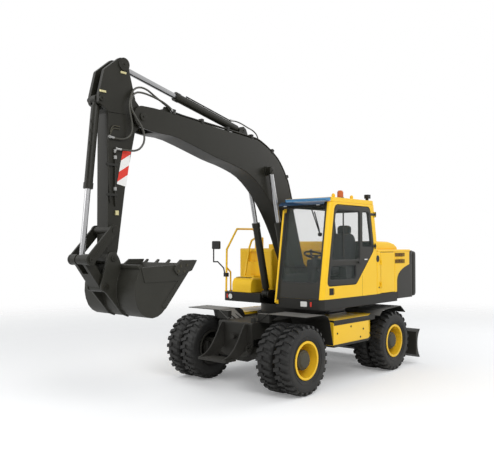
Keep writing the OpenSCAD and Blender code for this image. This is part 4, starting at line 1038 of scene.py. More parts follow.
@dataclass
class Fasteners:
    """Bolts on given places, rings of nuts, rows of bars, clamps along a path and lugs round an axle."""

    head_depth: float = 1.5
    washer_share: float = 1.5
    washer_depth: float = 0.5
    on_points: Pattern = field(init=False)
    in_ring: Pattern = field(init=False)
    in_row: Pattern = field(init=False)
    on_path: Pattern = field(init=False)
    round_axle: Pattern = field(init=False)

    def __post_init__(self) -> None:
        """Builds the five trees."""
        self.on_points = self._bolts_on_points()
        self.in_ring = self._nuts_in_ring()
        self.in_row = self._bars_in_row()
        self.on_path = self._clamps_on_path()
        self.round_axle = self._lugs_round_axle()

    @staticmethod
    def _bolts_on_points() -> Pattern:
        """Builds the tree that puts a bolt on each point, along the point's aim.

        Returns:
            The tree.
        """
        tree = Pattern("bolts_on_points")
        aim = tree.node("GeometryNodeInputNamedAttribute", {"Name": AIM}, data_type="FLOAT_VECTOR")
        return tree.close(tree.spread(tree.fed, tree.bolt(), tree.turn(aim.outputs[0])))

    @staticmethod
    def _nuts_in_ring() -> Pattern:
        """Builds the tree that spreads bolts round an axle.

        Returns:
            The tree.
        """
        tree = Pattern("nuts_in_ring")
        circle = tree.node("GeometryNodeMeshCircle", {
            "Vertices": tree.count(), "Radius": tree.size("Ring radius"),
        })
        return tree.close(tree.on_axle(tree.spread(circle.outputs["Mesh"], tree.bolt())))

    @staticmethod
    def _bars_in_row() -> Pattern:
        """Builds the tree that makes a row of equal bars.

        Returns:
            The tree.
        """
        tree = Pattern("bars_in_row")
        line = tree.node("GeometryNodeMeshLine", {
            "Count": tree.count(), "Start Location": tree.vector("Start"), "Offset": tree.vector("Step"),
        }, mode="OFFSET")
        return tree.close(tree.spread(line.outputs["Mesh"], tree.box("Bar")))

    @staticmethod
    def _clamps_on_path() -> Pattern:
        """Builds the tree that spreads clamps along a path.

        Returns:
            The tree.
        """
        tree = Pattern("clamps_on_path")
        curve = tree.node("GeometryNodeMeshToCurve", {"Mesh": tree.fed})
        spots = tree.node("GeometryNodeCurveToPoints", {
            "Curve": curve.outputs["Curve"], "Count": tree.count(),
        }, mode="COUNT")
        return tree.close(tree.spread(spots.outputs["Points"], tree.box("Clamp"), spots.outputs["Rotation"]))

    @staticmethod
    def _lugs_round_axle() -> Pattern:
        """Builds the tree that repeats the fed shape round an axle.

        Returns:
            The tree.
        """
        tree = Pattern("lugs_round_axle")
        count = tree.count()
        spots = tree.node("GeometryNodePoints", {"Count": count})
        share = tree.node("ShaderNodeMath", {0: math.tau, 1: count}, operation="DIVIDE")
        index = tree.node("GeometryNodeInputIndex", {})
        angle = tree.node("ShaderNodeMath", {
            0: index.outputs["Index"], 1: share.outputs[0],
        }, operation="MULTIPLY")
        spin = tree.node("ShaderNodeCombineXYZ", {"Z": angle.outputs[0]})
        turn = tree.node("FunctionNodeEulerToRotation", {"Euler": spin.outputs[0]})
        return tree.close(tree.on_axle(tree.spread(spots.outputs[0], tree.fed, turn.outputs[0])))

    def around(
        self, shape: Object, centre: Point, aim: Point, count: int, finish: Finish,
    ) -> None:
        """Repeats a shape round an axle.

        Args:
            shape: an object beside the z axis, which comes to hold all of them.
            centre: the axle's middle.
            aim: the way the axle points.
            count: how many there are.
            finish: their finish.
        """
        self.round_axle.run(shape, {"Count": count, "Centre": centre, "Aim": aim}, finish)

    def bolts(
        self, name: str, body: str, places: Sequence[Place], radius: float, finish: Finish, slot: Slot,
    ) -> None:
        """Makes bolts at places, where there are any.

        Args:
            name: the piece's name.
            body: the body that it rides on.
            places: each bolt's foot and the way it points.
            radius: the heads' radius.
            finish: their finish.
            slot: the record's material slot; not used.
        """
        if not places:
            return
        mesh = bpy.data.meshes.new(name)
        mesh.from_pydata([at for at, _ in places], [], [])
        aims = mesh.attributes.new(AIM, "FLOAT_VECTOR", "POINT")
        for i, (_, way) in enumerate(places):
            aims.data[i].vector = way
        made = self.on_points.run(linked(name, mesh), self._sizes(radius), finish)
        handed_over(made, body)

    def ring(
        self, name: str, body: str, centre: Point, aim: Point, ring_r: float, count: int, radius: float,
        finish: Finish, slot: Slot,
    ) -> None:
        """Makes a ring of nuts.

        Args:
            name: the piece's name.
            body: the body that it rides on.
            centre: the ring's middle.
            aim: the way the nuts point.
            ring_r: the ring's radius.
            count: how many nuts it has.
            radius: the nuts' radius.
            finish: their finish.
            slot: the record's material slot; not used.
        """
        values = {**self._sizes(radius), "Count": count, "Ring radius": ring_r, "Centre": centre, "Aim": aim}
        made = self.in_ring.run(linked(name, bpy.data.meshes.new(name)), values, finish)
        handed_over(made, body)

    def row(
        self, name: str, body: str, start: Point, step: Point, bar: Point, count: int, finish: Finish,
        slot: Slot,
    ) -> None:
        """Makes a row of equal bars.

        Args:
            name: the piece's name.
            body: the body that it rides on.
            start: the first bar's middle.
            step: the way from one bar to the next.
            bar: a bar's size.
            count: how many bars there are.
            finish: their finish.
            slot: the record's material slot; not used.
        """
        values = {"Count": count, "Start": start, "Step": step, "Bar": bar}
        made = self.in_row.run(linked(name, bpy.data.meshes.new(name)), values, finish)
        handed_over(made, body)

    def clamps(
        self, name: str, body: str, path: Sequence[Point], count: int, clamp: Point, finish: Finish,
        slot: Slot,
    ) -> None:
        """Makes clamps spread evenly along a path.

        Args:
            name: the piece's name.
            body: the body that it rides on.
            path: the line's points.
            count: how many clamps there are.
            clamp: a clamp's size.
            finish: their finish.
            slot: the record's material slot; not used.
        """
        mesh = bpy.data.meshes.new(name)
        mesh.from_pydata(list(path), [(i, i + 1) for i in range(len(path) - 1)], [])
        made = self.on_path.run(linked(name, mesh), {"Count": count, "Clamp": clamp}, finish)
        handed_over(made, body)

    def _sizes(self, radius: float) -> dict[str, float]:
        """Returns a bolt's sizes for its head's radius."""
        return {
            "Head radius": radius, "Head depth": radius * self.head_depth,
            "Washer radius": radius * self.washer_share, "Washer depth": radius * self.washer_depth,
        }


def smooth_path(route: Sequence[Point], steps: int = 2) -> list[Point]:
    """Rounds a route into a smooth line through all its points.

    Args:
        route: points chosen along the line.
        steps: how many stretches replace each stretch of the route.

    Returns:
        The points of the smooth line.
    """
    points = [Vector(p) for p in route]
    ends = [points[0] * 2 - points[1], *points, points[-1] * 2 - points[-2]]
    line = []
    for a, b, c, d in zip(ends, ends[1:], ends[2:], ends[3:]):
        for step in range(steps):
            t = step / steps
            bend = (a * 2 - b * 5 + c * 4 - d) * t * t + (b * 3 - a - c * 3 + d) * t * t * t
            line.append(tuple(b + ((c - a) * t + bend) * 0.5))
    line.append(tuple(points[-1]))
    return line


def length_of(path: Sequence[Point]) -> float:
    """Returns the length of a line of points."""
    return sum((Vector(b) - Vector(a)).length for a, b in zip(path, path[1:]))


@dataclass
class Hose:
    """A hydraulic hose between two bodies, with a crimped fitting at each end."""

    name: str
    bodies: tuple[str, str]
    radius: float
    route: tuple[Point, ...]
    sides: int = 14
    fitting_l: float = 0.055
    fitting_share: float = 1.35
    collar_back: float = 0.4
    nut_back: float = 0.5
    nut_share: float = 1.25
    nut_l: float = 0.4
    nut_sides: int = 6

    def build(self) -> None:
        """Makes the hose and its fittings."""
        path = smooth_path(self.route)
        tube = Piece(self.name, self.bodies[0], Slot.PLASTIC, HOSE)
        tube.pipe(path, self.radius, self.sides)
        hose = tube.loose()
        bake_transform(hose)
        self._fitting("foot", self.bodies[0], Vector(path[0]), Vector(path[1]))
        self._fitting("tip", self.bodies[1], Vector(path[-1]), Vector(path[-2]))
        LOG.info("hose %s is %.2f m long", self.name, length_of(path))

    def _fitting(self, label: str, body: str, at: Vector, inward: Vector) -> None:
        """Makes the fitting at one end.

        Args:
            label: the end's word in the fitting's name.
            body: the body that it rides on.
            at: the hose's end.
            inward: the next point of the hose.
        """
        way = (inward - at).normalized()
        radius = self.radius * self.fitting_share
        nut_r = radius * self.nut_share
        collar = Piece(f"{self.name}_{label}", body, Slot.CHROME, STEEL)
        collar.rod(at - way * self.fitting_l * self.collar_back, at + way * self.fitting_l, radius)
        nut = ((nut_r, 0.0), (nut_r, self.fitting_l * self.nut_l))
        collar.turned(at - way * self.fitting_l * self.nut_back, way, nut, self.nut_sides)
        collar.done()


@dataclass(frozen=True)
class ArmPipe:
    """A pipe down the arm's left side: points that lead to it, places on it and the foot."""

    lead: tuple[Point, ...]
    down: tuple[Flat, ...]
    foot: Flat

    def route(self, y: float, dip: float) -> list[Point]:
        """Returns the pipe's route at a y, with its foot turned in by a dip."""
        return [*self.lead, *((x, y, z) for x, z in self.down), (self.foot[0], y - dip, self.foot[1])]


@dataclass
class Hydraulics:
    """Hoses, pipes and clamps of the front equipment."""

    kit: Fasteners
    hose_r: float = 0.013
    thin_r: float = 0.010
    pipe_r: float = 0.011
    thin_sides: int = 10
    steps: int = 4
    stand_off: float = 0.028
    boom_middle: Flat = (1.8, 2.9)
    boom_from_deg: float = 183.0
    boom_to_deg: float = 49.0
    boom_points: int = 40
    pipe_y: Flat = (0.122, 0.150)
    pipe_end_x: float = 2.92
    pipe_end_z: Flat = (4.0, 4.02)
    clamp_count: int = 7
    clamp: Point = (0.07, 0.07, 0.045)
    arm_spot: Flat = (3.86, 3.2)
    arm_lift: float = 0.016
    foot_dip: float = 0.01
    arm_pipes: tuple[ArmPipe, ...] = (
        ArmPipe(
            ((3.86, 0.138, 3.405), (3.885, 0.145, 3.36)),
            ((3.89, 3.28), (3.89, 3.0), (3.89, 2.80), (3.885, 2.72)), (3.875, 2.68),
        ),
        ArmPipe(
            ((3.97, 0.140, 3.545), (4.0, 0.136, 3.52)),
            ((4.01, 3.44), (3.99, 3.10), (3.965, 2.80)), (3.955, 2.72),
        ),
    )
    nut_x: float = 3.889
    nut_z: tuple[float, ...] = (3.375, 3.296, 2.898)
    nut_half: float = 0.022
    nut: tuple[Flat, ...] = ((0.019, 0.0), (0.021, 0.004), (0.021, 0.040), (0.019, 0.044))
    nut_sides: int = 6
    foot_low: Flat = (3.835, 2.565)
    foot_high: Flat = (3.885, 2.625)
    foot_depth: Flat = (-0.004, 0.024)
    tags: tuple[Flat, ...] = ((3.760, 4.400), (4.075, 4.105))
    tag_half: Flat = (0.045, 0.014)
    tag_depth: Flat = (-0.002, 0.014)
    thin_route: tuple[Point, ...] = (
        (3.815, 0.008, 3.697), (3.86, 0.012, 3.697), (3.915, 0.012, 3.693), (3.945, 0.010, 3.655),
        (3.960, 0.004, 3.61),
    )
    thin_drops: Flat = (0.0, 0.034)
    thin_share: float = 0.8
    band_z: Flat = (3.20, 2.82)
    band_x: Flat = (3.862, 4.022)
    band_half: float = 0.016
    band_depth: Flat = (-0.004, 0.030)
    block_round: float = 0.003
    probe_from: float = 6.0
    least_points: int = 4
    arm_line_x: tuple[float, ...] = (1.63, 1.70, 1.85, 2.05, 2.25, 2.45, 2.58)
    arm_line_y: float = 0.040
    arm_line_lift: float = 0.016
    bucket_line_z: tuple[float, ...] = (3.72, 3.60, 3.45, 3.30, 3.15, 3.02)
    bucket_line_y: float = 0.035
    bucket_line_lift: float = 0.014
    collar: tuple[Flat, ...] = ((0.016, 0.0), (0.02, 0.01), (0.02, 0.05), (0.015, 0.06))
    collar_back: Flat = (0.012, 0.03)
    collar_aim: Point = (0.3, 0.0, 1.0)
    collar_sides: int = 12
    collar_count: int = 3

    def hoses(self) -> list[Hose]:
        """Returns the free hoses, each on the route that it takes in the photograph.

        Returns:
            The two hoses between boom and arm, and the arm cylinder's feed hose.
        """
        outer = (
            (2.92, 0.150, 4.02), (2.97, 0.148, 4.06), (3.02, 0.145, 4.09), (3.10, 0.140, 4.125),
            (3.20, 0.135, 4.155), (3.33, 0.135, 4.18), (3.44, 0.140, 4.19), (3.55, 0.150, 4.18),
            (3.63, 0.165, 4.134), (3.684, 0.185, 4.06), (3.70, 0.205, 3.972), (3.669, 0.215, 3.883),
            (3.599, 0.225, 3.789), (3.541, 0.235, 3.703), (3.509, 0.240, 3.602), (3.522, 0.240, 3.507),
            (3.571, 0.220, 3.431), (3.646, 0.200, 3.399), (3.738, 0.170, 3.40), (3.86, 0.138, 3.405),
        )
        inner = (
            (2.92, 0.122, 4.00), (2.97, 0.121, 4.05), (3.02, 0.120, 4.09), (3.12, 0.115, 4.14),
            (3.239, 0.110, 4.198), (3.339, 0.105, 4.25), (3.45, 0.108, 4.268), (3.559, 0.125, 4.237),
            (3.64, 0.155, 4.17), (3.69, 0.180, 4.08), (3.715, 0.190, 3.98), (3.70, 0.192, 3.87),
            (3.672, 0.190, 3.757), (3.665, 0.182, 3.65), (3.705, 0.165, 3.575), (3.78, 0.152, 3.54),
            (3.878, 0.145, 3.536), (3.97, 0.140, 3.545),
        )
        arm_feed = (
            (1.062, 0.100, 3.845), (1.068, 0.100, 3.888), (1.085, 0.099, 3.93), (1.11, 0.097, 3.96),
            (1.145, 0.095, 3.985), (1.185, 0.092, 4.005), (1.23, 0.089, 4.02), (1.275, 0.086, 4.032),
            (1.32, 0.083, 4.045), (1.365, 0.079, 4.06), (1.41, 0.074, 4.075), (1.455, 0.068, 4.088),
            (1.50, 0.061, 4.098), (1.545, 0.053, 4.104), (1.59, 0.045, 4.106), (1.63, 0.040, 4.108),
        )
        return [
            Hose("nose_hose_outer", ("boom", "arm"), self.hose_r, outer),
            Hose("nose_hose_inner", ("boom", "arm"), self.hose_r, inner),
            Hose("arm_feed_hose", ("boom", "arm_barrel"), self.thin_r, arm_feed),
        ]

    def build(self) -> None:
        """Makes the hoses first and then the fixed pipes."""
        for hose in self.hoses():
            hose.build()
        self._boom_pipes()
        self._arm_side()
        self._arm_barrel_pipe()
        self._bucket_barrel_pipe()

    def _boom_pipes(self) -> None:
        """Makes two pipes over each edge of the boom's back, held by clamps."""
        pipes = Piece("boom_pipes", "boom", Slot.BOOM, BOOM_GREY)
        middle = Vector((self.boom_middle[0], 0.0, self.boom_middle[1]))
        for side in Side:
            path = []
            for y, end_z in zip(self.pipe_y, self.pipe_end_z):
                path = self._over_boom(middle, side.value * y)
                if side is Side.LEFT:
                    path.append((self.pipe_end_x, y, end_z))
                pipes.pipe(path, self.pipe_r, self.thin_sides)
            between = [(x, side.value * sum(self.pipe_y) / 2, z) for x, _, z in path]
            self.kit.clamps(f"boom_clamps_{side.label}", "boom", between, self.clamp_count, self.clamp,
                            FRAME_GREY, Slot.CHASSIS)
        pipes.done()

    def _over_boom(self, middle: Vector, y: float) -> list[Point]:
        """Follows the boom's back.

        Args:
            middle: a point below the back, round which the line turns.
            y: where the line lies.

        Returns:
            The points of a pipe's middle line.
        """
        path = []
        for i in range(self.boom_points):
            share = i / (self.boom_points - 1)
            angle = math.radians(self.boom_from_deg + (self.boom_to_deg - self.boom_from_deg) * share)
            way = Vector((math.cos(angle), 0.0, math.sin(angle)))
            start = middle + way * PROBE.far
            found = PROBE.hit("boom", (start.x, y, start.z), -way)
            if found is not None:
                path.append(tuple(found + way * self.stand_off))
        return path

    def _arm_side(self) -> None:
        """Makes the pipes, nuts, blocks and clamps on the arm's left side."""
        face = PROBE.side("arm", *self.arm_spot, Side.LEFT)
        if face is None:
            return
        y = face + self.arm_lift
        pipes = Piece("arm_pipes", "arm", Slot.BOOM, BOOM_GREY)
        for line in self.arm_pipes:
            pipes.pipe(smooth_path(line.route(y, self.foot_dip), self.steps), self.pipe_r)
        pipes.done()
        nuts = Piece("arm_pipe_nuts", "arm", Slot.CHROME, STEEL)
        for z in self.nut_z:
            nuts.turned((self.nut_x, y, z - self.nut_half), UP, self.nut, self.nut_sides)
        nuts.done()
        blocks = Piece("arm_pipe_blocks", "arm", Slot.CHROME, ZINC, self.block_round)
        self._on_face(blocks, face, self.foot_depth, self.foot_low, self.foot_high)
        half_x, half_z = self.tag_half
        for x, z in self.tags:
            self._on_face(blocks, face, self.tag_depth, (x - half_x, z - half_z), (x + half_x, z + half_z))
        blocks.done()
        thin = Piece("arm_thin_pipes", "arm", Slot.BOOM, HUB_GREY)
        for drop in self.thin_drops:
            route = [(x, face + lift, z - drop) for x, lift, z in self.thin_route]
            thin.pipe(smooth_path(route, self.steps), self.thin_r * self.thin_share, self.thin_sides)
        thin.done()
        bands = Piece("arm_pipe_clamps", "arm", Slot.CHASSIS, FRAME_GREY, self.block_round)
        for z in self.band_z:
            low, high = ((x, z + way * self.band_half) for x, way in zip(self.band_x, (-1, 1)))
            self._on_face(bands, face, self.band_depth, low, high)
        bands.done()

    @staticmethod
    def _on_face(piece: Piece, face: float, depth: Flat, low: Flat, high: Flat) -> None:
        """Adds a block to a piece on the arm's left side.

        Args:
            piece: the piece.
            face: the side's y.
            depth: where the block starts and ends, from the side outwards.
            low: its lowest x and z.
            high: its highest x and z.
        """
        piece.block((low[0], face + depth[0], low[1]), (high[0], face + depth[1], high[1]))

    def _arm_barrel_pipe(self) -> None:
        """Makes the feed pipe that lies along the arm cylinder's barrel."""
        pipe = Piece("arm_barrel_pipe", "arm_barrel", Slot.BOOM, BOOM_GREY)
        line = []
        for x in self.arm_line_x:
            found = PROBE.hit("arm_barrel", (x, self.arm_line_y, self.probe_from), DOWN)
            if found is not None:
                line.append((x, self.arm_line_y, found.z + self.arm_line_lift))
        if len(line) >= self.least_points:
            pipe.pipe(line, self.thin_r, self.thin_sides)
        pipe.done()

    def _bucket_barrel_pipe(self) -> None:
        """Makes the feed pipe that lies along the bucket cylinder's barrel, with its collars."""
        pipe = Piece("bucket_barrel_pipe", "bucket_barrel", Slot.BOOM, BOOM_GREY)
        line = []
        for z in self.bucket_line_z:
            found = PROBE.hit("bucket_barrel", (self.probe_from, self.bucket_line_y, z), BACKWARD)
            if found is not None:
                line.append((found.x + self.bucket_line_lift, self.bucket_line_y, z))
        if len(line) >= self.least_points:
            pipe.pipe(line, self.thin_r, self.thin_sides)
        back, down = self.collar_back
        for x, y, z in line[:self.collar_count]:
            pipe.turned((x - back, y, z - down), self.collar_aim, self.collar, self.collar_sides)
        pipe.done()


def side_places(node: str, spots: Sequence[Flat]) -> list[Place]:
    """Finds spots on both sides of a node.

    Args:
        node: the CAD node's name.
        spots: places in x and z.

    Returns:
        Each point on the node, with the way out of its side.
    """
    found = []
    for side in Side:
        for x, z in spots:
            face = PROBE.side(node, x, z, side)
            if face is not None:
                found.append(((x, face, z), side.outward))
    return found


@dataclass
class ArmMarks:
    """The red and white stripe on both sides of the arm, as thin plates."""

    front_x: Flat = (3.761, 3.850)
    front_z: tuple[float, ...] = (3.392, 3.268, 3.122, 2.992, 2.965)
    rear_x: Flat = (3.627, 3.706)
    rear_z: tuple[float, ...] = (3.404, 3.360, 3.218, 3.092, 2.938)
    spot: Flat = (3.74, 3.17)
    rise: float = 0.0015

    def build(self) -> None:
        """Makes the four fields on each side."""
        front = self._corners(self.front_x, self.front_z)
        rear = self._corners(self.rear_x, self.rear_z)
        for side in Side:
            face = PROBE.side("arm", *self.spot, side)
            if face is None:
                continue
            for start, (label, finish) in enumerate((("red", RED), ("white", WHITE))):
                marks = Piece(f"arm_stripe_{label}_{side.label}", "arm", Slot.LENS, finish)
                for i in range(start, len(front) - 1, 2):
                    outline = (front[i], front[i + 1], rear[i + 1], rear[i])
                    marks.plate(outline, face - side.value * self.rise, face + side.value * self.rise)
                marks.done()

    @staticmethod
    def _corners(ends: Flat, heights: Sequence[float]) -> list[Flat]:
        """Returns the corners at some heights of a straight edge, given the x of its ends."""
        shares = [(heights[0] - z) / (heights[0] - heights[-1]) for z in heights]
        return [(ends[0] + (ends[1] - ends[0]) * share, z) for share, z in zip(shares, heights)]


@dataclass
class Pins:
    """Caps on the ends of the front equipment's pins."""

    dresser: Dresser
    kit: Fasteners
    cap_r: float = 0.044
    cap_t: float = 0.006
    cap_sunk: float = 0.002
    cap_wall: float = 0.6
    cap_top: float = 0.9
    cap_sides: int = 28
    bolt_r: float = 0.009
    places: tuple[tuple[str, Flat, float], ...] = (
        ("boom", (3.47, 3.87), 1.2), ("boom", (1.39, 3.98), 1.0), ("boom", (0.92, 3.38), 1.0),
        ("boom_rods", (0.92, 3.38), 0.9), ("arm", (3.75, 4.51), 0.9), ("arm", (4.09, 4.02), 0.9),
        ("arm", (3.93, 2.02), 0.9), ("rocker", (3.95, 2.37), 0.8), ("rocker", (4.29, 2.01), 0.8),
        ("bucket", (3.93, 2.02), 0.9), ("bucket", (4.04, 1.67), 0.9), ("swing_frame", (0.0, 1.75), 1.3),
        ("swing_frame", (0.43, 1.362), 0.8),
    )

    def build(self) -> None:
        """Makes a cap and its bolt on each end that a solid shows."""
        caps: dict[str, Piece] = {}
        bolts: dict[str, list[Place]] = {}
        for node, (x, z), share in self.places:
            body = self.dresser.body_of[node]
            for side in Side:
                face = PROBE.side(node, x, z, side)
                if face is None:
                    continue
                cap = caps.setdefault(body, Piece(f"pin_caps_{body}", body, Slot.BOOM, BOOM_GREY))
                radius = self.cap_r * share
                wall = (radius, self.cap_t * self.cap_wall)
                profile = ((radius, 0.0), wall, (radius * self.cap_top, self.cap_t))
                cap.turned((x, face - side.value * self.cap_sunk, z), side.outward, profile, self.cap_sides)
                tip = (x, face + side.value * self.cap_t, z)
                bolts.setdefault(body, []).append((tip, side.outward))
        for body, cap in caps.items():
            cap.done()
            self.kit.bolts(f"pin_bolts_{body}", body, bolts[body], self.bolt_r, BOOM_GREY, Slot.BOOM)


@dataclass
class Wheels:
    """The twin wheels' tyres with tread and ribs, hub drums, wheel nuts and hub bolts."""

    kit: Fasteners
    axle_x: float = 1.3
    track_y: float = 0.957
    axle_z: float = 0.515
    nut_ring_r: float = 0.190
    nut_r: float = 0.0135
    nut_count: int = 10
    hub_ring_r: float = 0.072
    hub_bolt_r: float = 0.007
    hub_bolts: int = 8
    probe_shares: Flat = (0.96, 0.28)
    rib_radii: tuple[float, ...] = (0.312, 0.345, 0.438)
    rib_r: float = 0.0035
    rib_points: int = 72
    rib_sides: int = 8
    tyre_off: float = 0.160
    tyre_sides: int = 96
    carcass: tuple[Flat, ...] = (
        (0.284, -0.098), (0.300, -0.112), (0.340, -0.129), (0.390, -0.1365), (0.430, -0.133), (0.460, -0.122),
        (0.479, -0.098), (0.486, -0.050), (0.488, 0.0), (0.486, 0.050), (0.479, 0.098), (0.460, 0.122),
        (0.430, 0.133), (0.390, 0.1365), (0.340, 0.129), (0.300, 0.112), (0.284, 0.098),
    )
    lug: tuple[Flat, ...] = (
        (0.470, 0.006), (0.5135, 0.006), (0.5122, 0.088), (0.503, 0.118), (0.468, 0.133), (0.450, 0.120),
        (0.466, 0.09),
    )
    lug_half_t: float = 0.026
    lug_skew: float = 0.28
    lug_count: int = 26
    hub_profile: tuple[Flat, ...] = (
        (0.150, 0.010), (0.150, 0.190), (0.142, 0.215), (0.122, 0.224), (0.116, 0.240), (0.102, 0.248),
        (0.030, 0.250),
    )
    hub_sides: int = 40

    def build(self) -> None:
        """Dresses each wheel."""
        for axle, x in AXLES.items():
            for side in Side:
                self._wheel(f"{axle}_{side.label}", x, side)

    def _wheel(self, place: str, x: float, side: Side) -> None:
        """Dresses one twin wheel.

        Args:
            place: the wheel's words in the pieces' names.
            x: the axle's place.
            side: the wheel's side.
        """
        body = f"wheels_{place}"
        rings = (
            ("wheel_nuts", self.nut_ring_r, self.nut_count, self.nut_r, STEEL),
            ("hub_bolts", self.hub_ring_r, self.hub_bolts, self.hub_bolt_r, FRAME_GREY),
        )
        for label, ring_r, count, radius, finish in rings:
            along, up = (ring_r * share for share in self.probe_shares)
            face = PROBE.side(f"rims_{place}", x + along, self.axle_z + up, side)
            if face is not None:
                centre = (x, face, self.axle_z)
                self.kit.ring(f"{label}_{place}", body, centre, side.outward, ring_r, count, radius, finish,
                              Slot.CHROME)
        hub = Piece(f"hub_{place}", body, Slot.CHASSIS, HUB_GREY)
        foot = (x, side.value * self.track_y, self.axle_z)
        hub.turned(foot, side.outward, self.hub_profile, self.hub_sides)
        hub.done()
        self._tyres(place, x, side)
        self._ribs(place, x, side)

    def _ribs(self, place: str, x: float, side: Side) -> None:
        """Makes the thin ribs on the outer sidewall.

        Args:
            place: the wheel's words in the pieces' names.
            x: the axle's place.
            side: the wheel's side.
        """
        ribs = Piece(f"tyre_ribs_{place}", f"wheels_{place}", Slot.TYRE, RUBBER)
        for radius in self.rib_radii:
            face = PROBE.side(f"tyres_{place}", x + radius, self.axle_z, side)
            if face is None:
                continue
            face = side.value * min(abs(face), CAD_BOX[1][1] - self.rib_r)
            turns = round_angles(self.rib_points)
            loop = [(x + math.cos(a) * radius, face, self.axle_z + math.sin(a) * radius) for a in turns]
            ribs.pipe(loop, self.rib_r, self.rib_sides, closed=True)
        ribs.done()

    def _tyres(self, place: str, x: float, side: Side) -> None:
        """Makes the pair of tyres: a smooth carcass each, and staggered lugs on both shoulders.

        Args:
            place: the wheel's words in the pieces' names.
            x: the axle's place.
            side: the wheel's side.
        """
        body = f"wheels_{place}"
        carcass = Piece(f"tyres_{place}_look", body, Slot.TYRE, RUBBER)
        for row, middle in enumerate((-self.tyre_off, self.tyre_off)):
            centre = (x, side.value * self.track_y + middle, self.axle_z)
            carcass.turned(centre, LEFTWARD, self.carcass, self.tyre_sides, closed=True)
            for half, label in ((1, "out"), (-1, "in")):
                lugs = self._lug(f"lugs_{place}_{row}_{label}", half)
                self.kit.around(lugs, centre, LEFTWARD, self.lug_count, RUBBER)
                handed_over(lugs, body)
        made = carcass.done()
        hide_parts(f"tyres_{place}")

    def _lug(self, name: str, half: int) -> Object:
        """Makes one skewed lug round the z axis.

        Args:
            name: the lugs' name.
            half: 1 for the tread's upper half, -1 for its lower half.

        Returns:
            The lug's object, not handed over yet.
        """
        bm = bmesh.new()
        shift = 0.0 if half > 0 else math.pi / self.lug_count
        turn = Matrix.Rotation(shift, 3, "Z")
        rings = []
        for face in (-self.lug_half_t, self.lug_half_t):
            corners = [(radius, face + self.lug_skew * height, half * height) for radius, height in self.lug]
            rings.append([bm.verts.new(turn @ Vector(corner)) for corner in corners])
        count = len(self.lug)
        for i in range(count):
            j = (i + 1) % count
            bm.faces.new((rings[0][i], rings[0][j], rings[1][j], rings[1][i]))
        bm.faces.new(rings[0])
        bm.faces.new(rings[1])
        bmesh.ops.recalc_face_normals(bm, faces=bm.faces)
        mesh = bpy.data.meshes.new(name)
        bm.to_mesh(mesh)
        bm.free()
        return linked(name, mesh)


AXLES = {"front": Wheels.axle_x, "rear": -Wheels.axle_x}


@dataclass
class Undercarriage:
    """Bolts on the tool boxes and the blade, the bands under the boxes' lids and the front step's treads."""

    kit: Fasteners
    box_bolts: tuple[Flat, ...] = (
        (0.476, 0.819), (-0.289, 0.822), (-0.627, 0.709), (0.084, 0.894), (-0.20, 0.70),
    )
    bolt_r: float = 0.011
    blade_bolts: int = 9
    blade_bolt_share: float = 1.3
    blade_z: float = 0.16
    blade_share: float = 0.86
    blade_room: float = 1.0
    band_x: Flat = (-0.66, 0.57)
    band_z: Flat = (0.945, 1.027)
    band_spot: Flat = (0.0, 0.90)
    band_sunk: float = 0.01
    band_rise: float = 0.004
    band_round: float = 0.003
    tread_from: float = 3.0
    tread_edge: float = 0.14
    tread_count: int = 18
    tread: Point = (0.05, 0.008, 0.010)

    def build(self) -> None:
        """Makes the small parts that the solids leave out."""
        places = side_places("toolboxes", self.box_bolts)
        self.kit.bolts("toolbox_bolts", "chassis", places, self.bolt_r, PLASTIC, Slot.PLASTIC)
        self._lid_bands()
        self._blade()
        self._treads()

    def _blade(self) -> None:
        """Makes the bolts of the blade's cutting edge."""
        low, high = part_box("blade")
        span = (high[1] - low[1]) * self.blade_share
        edge = []
        for i in range(self.blade_bolts):
            y = span * (i / (self.blade_bolts - 1) - 0.5)
            found = PROBE.hit("blade", (low[0] - self.blade_room, y, self.blade_z), FORWARD)
            if found is not None:
                edge.append((tuple(found), BACKWARD))
        radius = self.bolt_r * self.blade_bolt_share
        self.kit.bolts("blade_bolts", "blade", edge, radius, STEEL, Slot.CHASSIS)

    def _treads(self) -> None:
        """Makes the bars on the front step."""
        low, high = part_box("front_step")
        middle = ((low[0] + high[0]) / 2, (low[1] + high[1]) / 2, self.tread_from)
        top = PROBE.hit("front_step", middle, DOWN)
        if top is None:
            return
        start = (top.x, low[1] * (1 - self.tread_edge) + high[1] * self.tread_edge, top.z)
        step = (0.0, (high[1] - low[1]) * (1 - 2 * self.tread_edge) / (self.tread_count - 1), 0.0)
        self.kit.row("front_step_treads", "chassis", start, step, self.tread, self.tread_count, FRAME_GREY,
                     Slot.CHASSIS)

    def _lid_bands(self) -> None:
        """Lays the dark band under each tool box's lid."""
        bands = Piece("toolbox_bands", "chassis", Slot.CHASSIS, FRAME_GREY, self.band_round)
        for side in Side:
            face = PROBE.side("toolboxes", *self.band_spot, side)
            if face is not None:
                near, far = sorted((face - side.value * self.band_sunk, face + side.value * self.band_rise))
                bands.block((self.band_x[0], near, self.band_z[0]), (self.band_x[1], far, self.band_z[1]))
        bands.done()


@dataclass
class BucketBolts:
    """Bolts of the side cutters."""

    kit: Fasteners
    places: tuple[Flat, ...] = ((3.16, 1.915), (3.05, 1.925), (3.10, 1.845), (3.20, 1.850))
    bolt_r: float = 0.013

    def build(self) -> None:
        """Makes the bolts on both cutters."""
        found = side_places("bucket", self.places)
        self.kit.bolts("cutter_bolts", "bucket", found, self.bolt_r, HUB_GREY, Slot.BOOM)


X_AXIS, Y_AXIS, Z_AXIS = range(3)


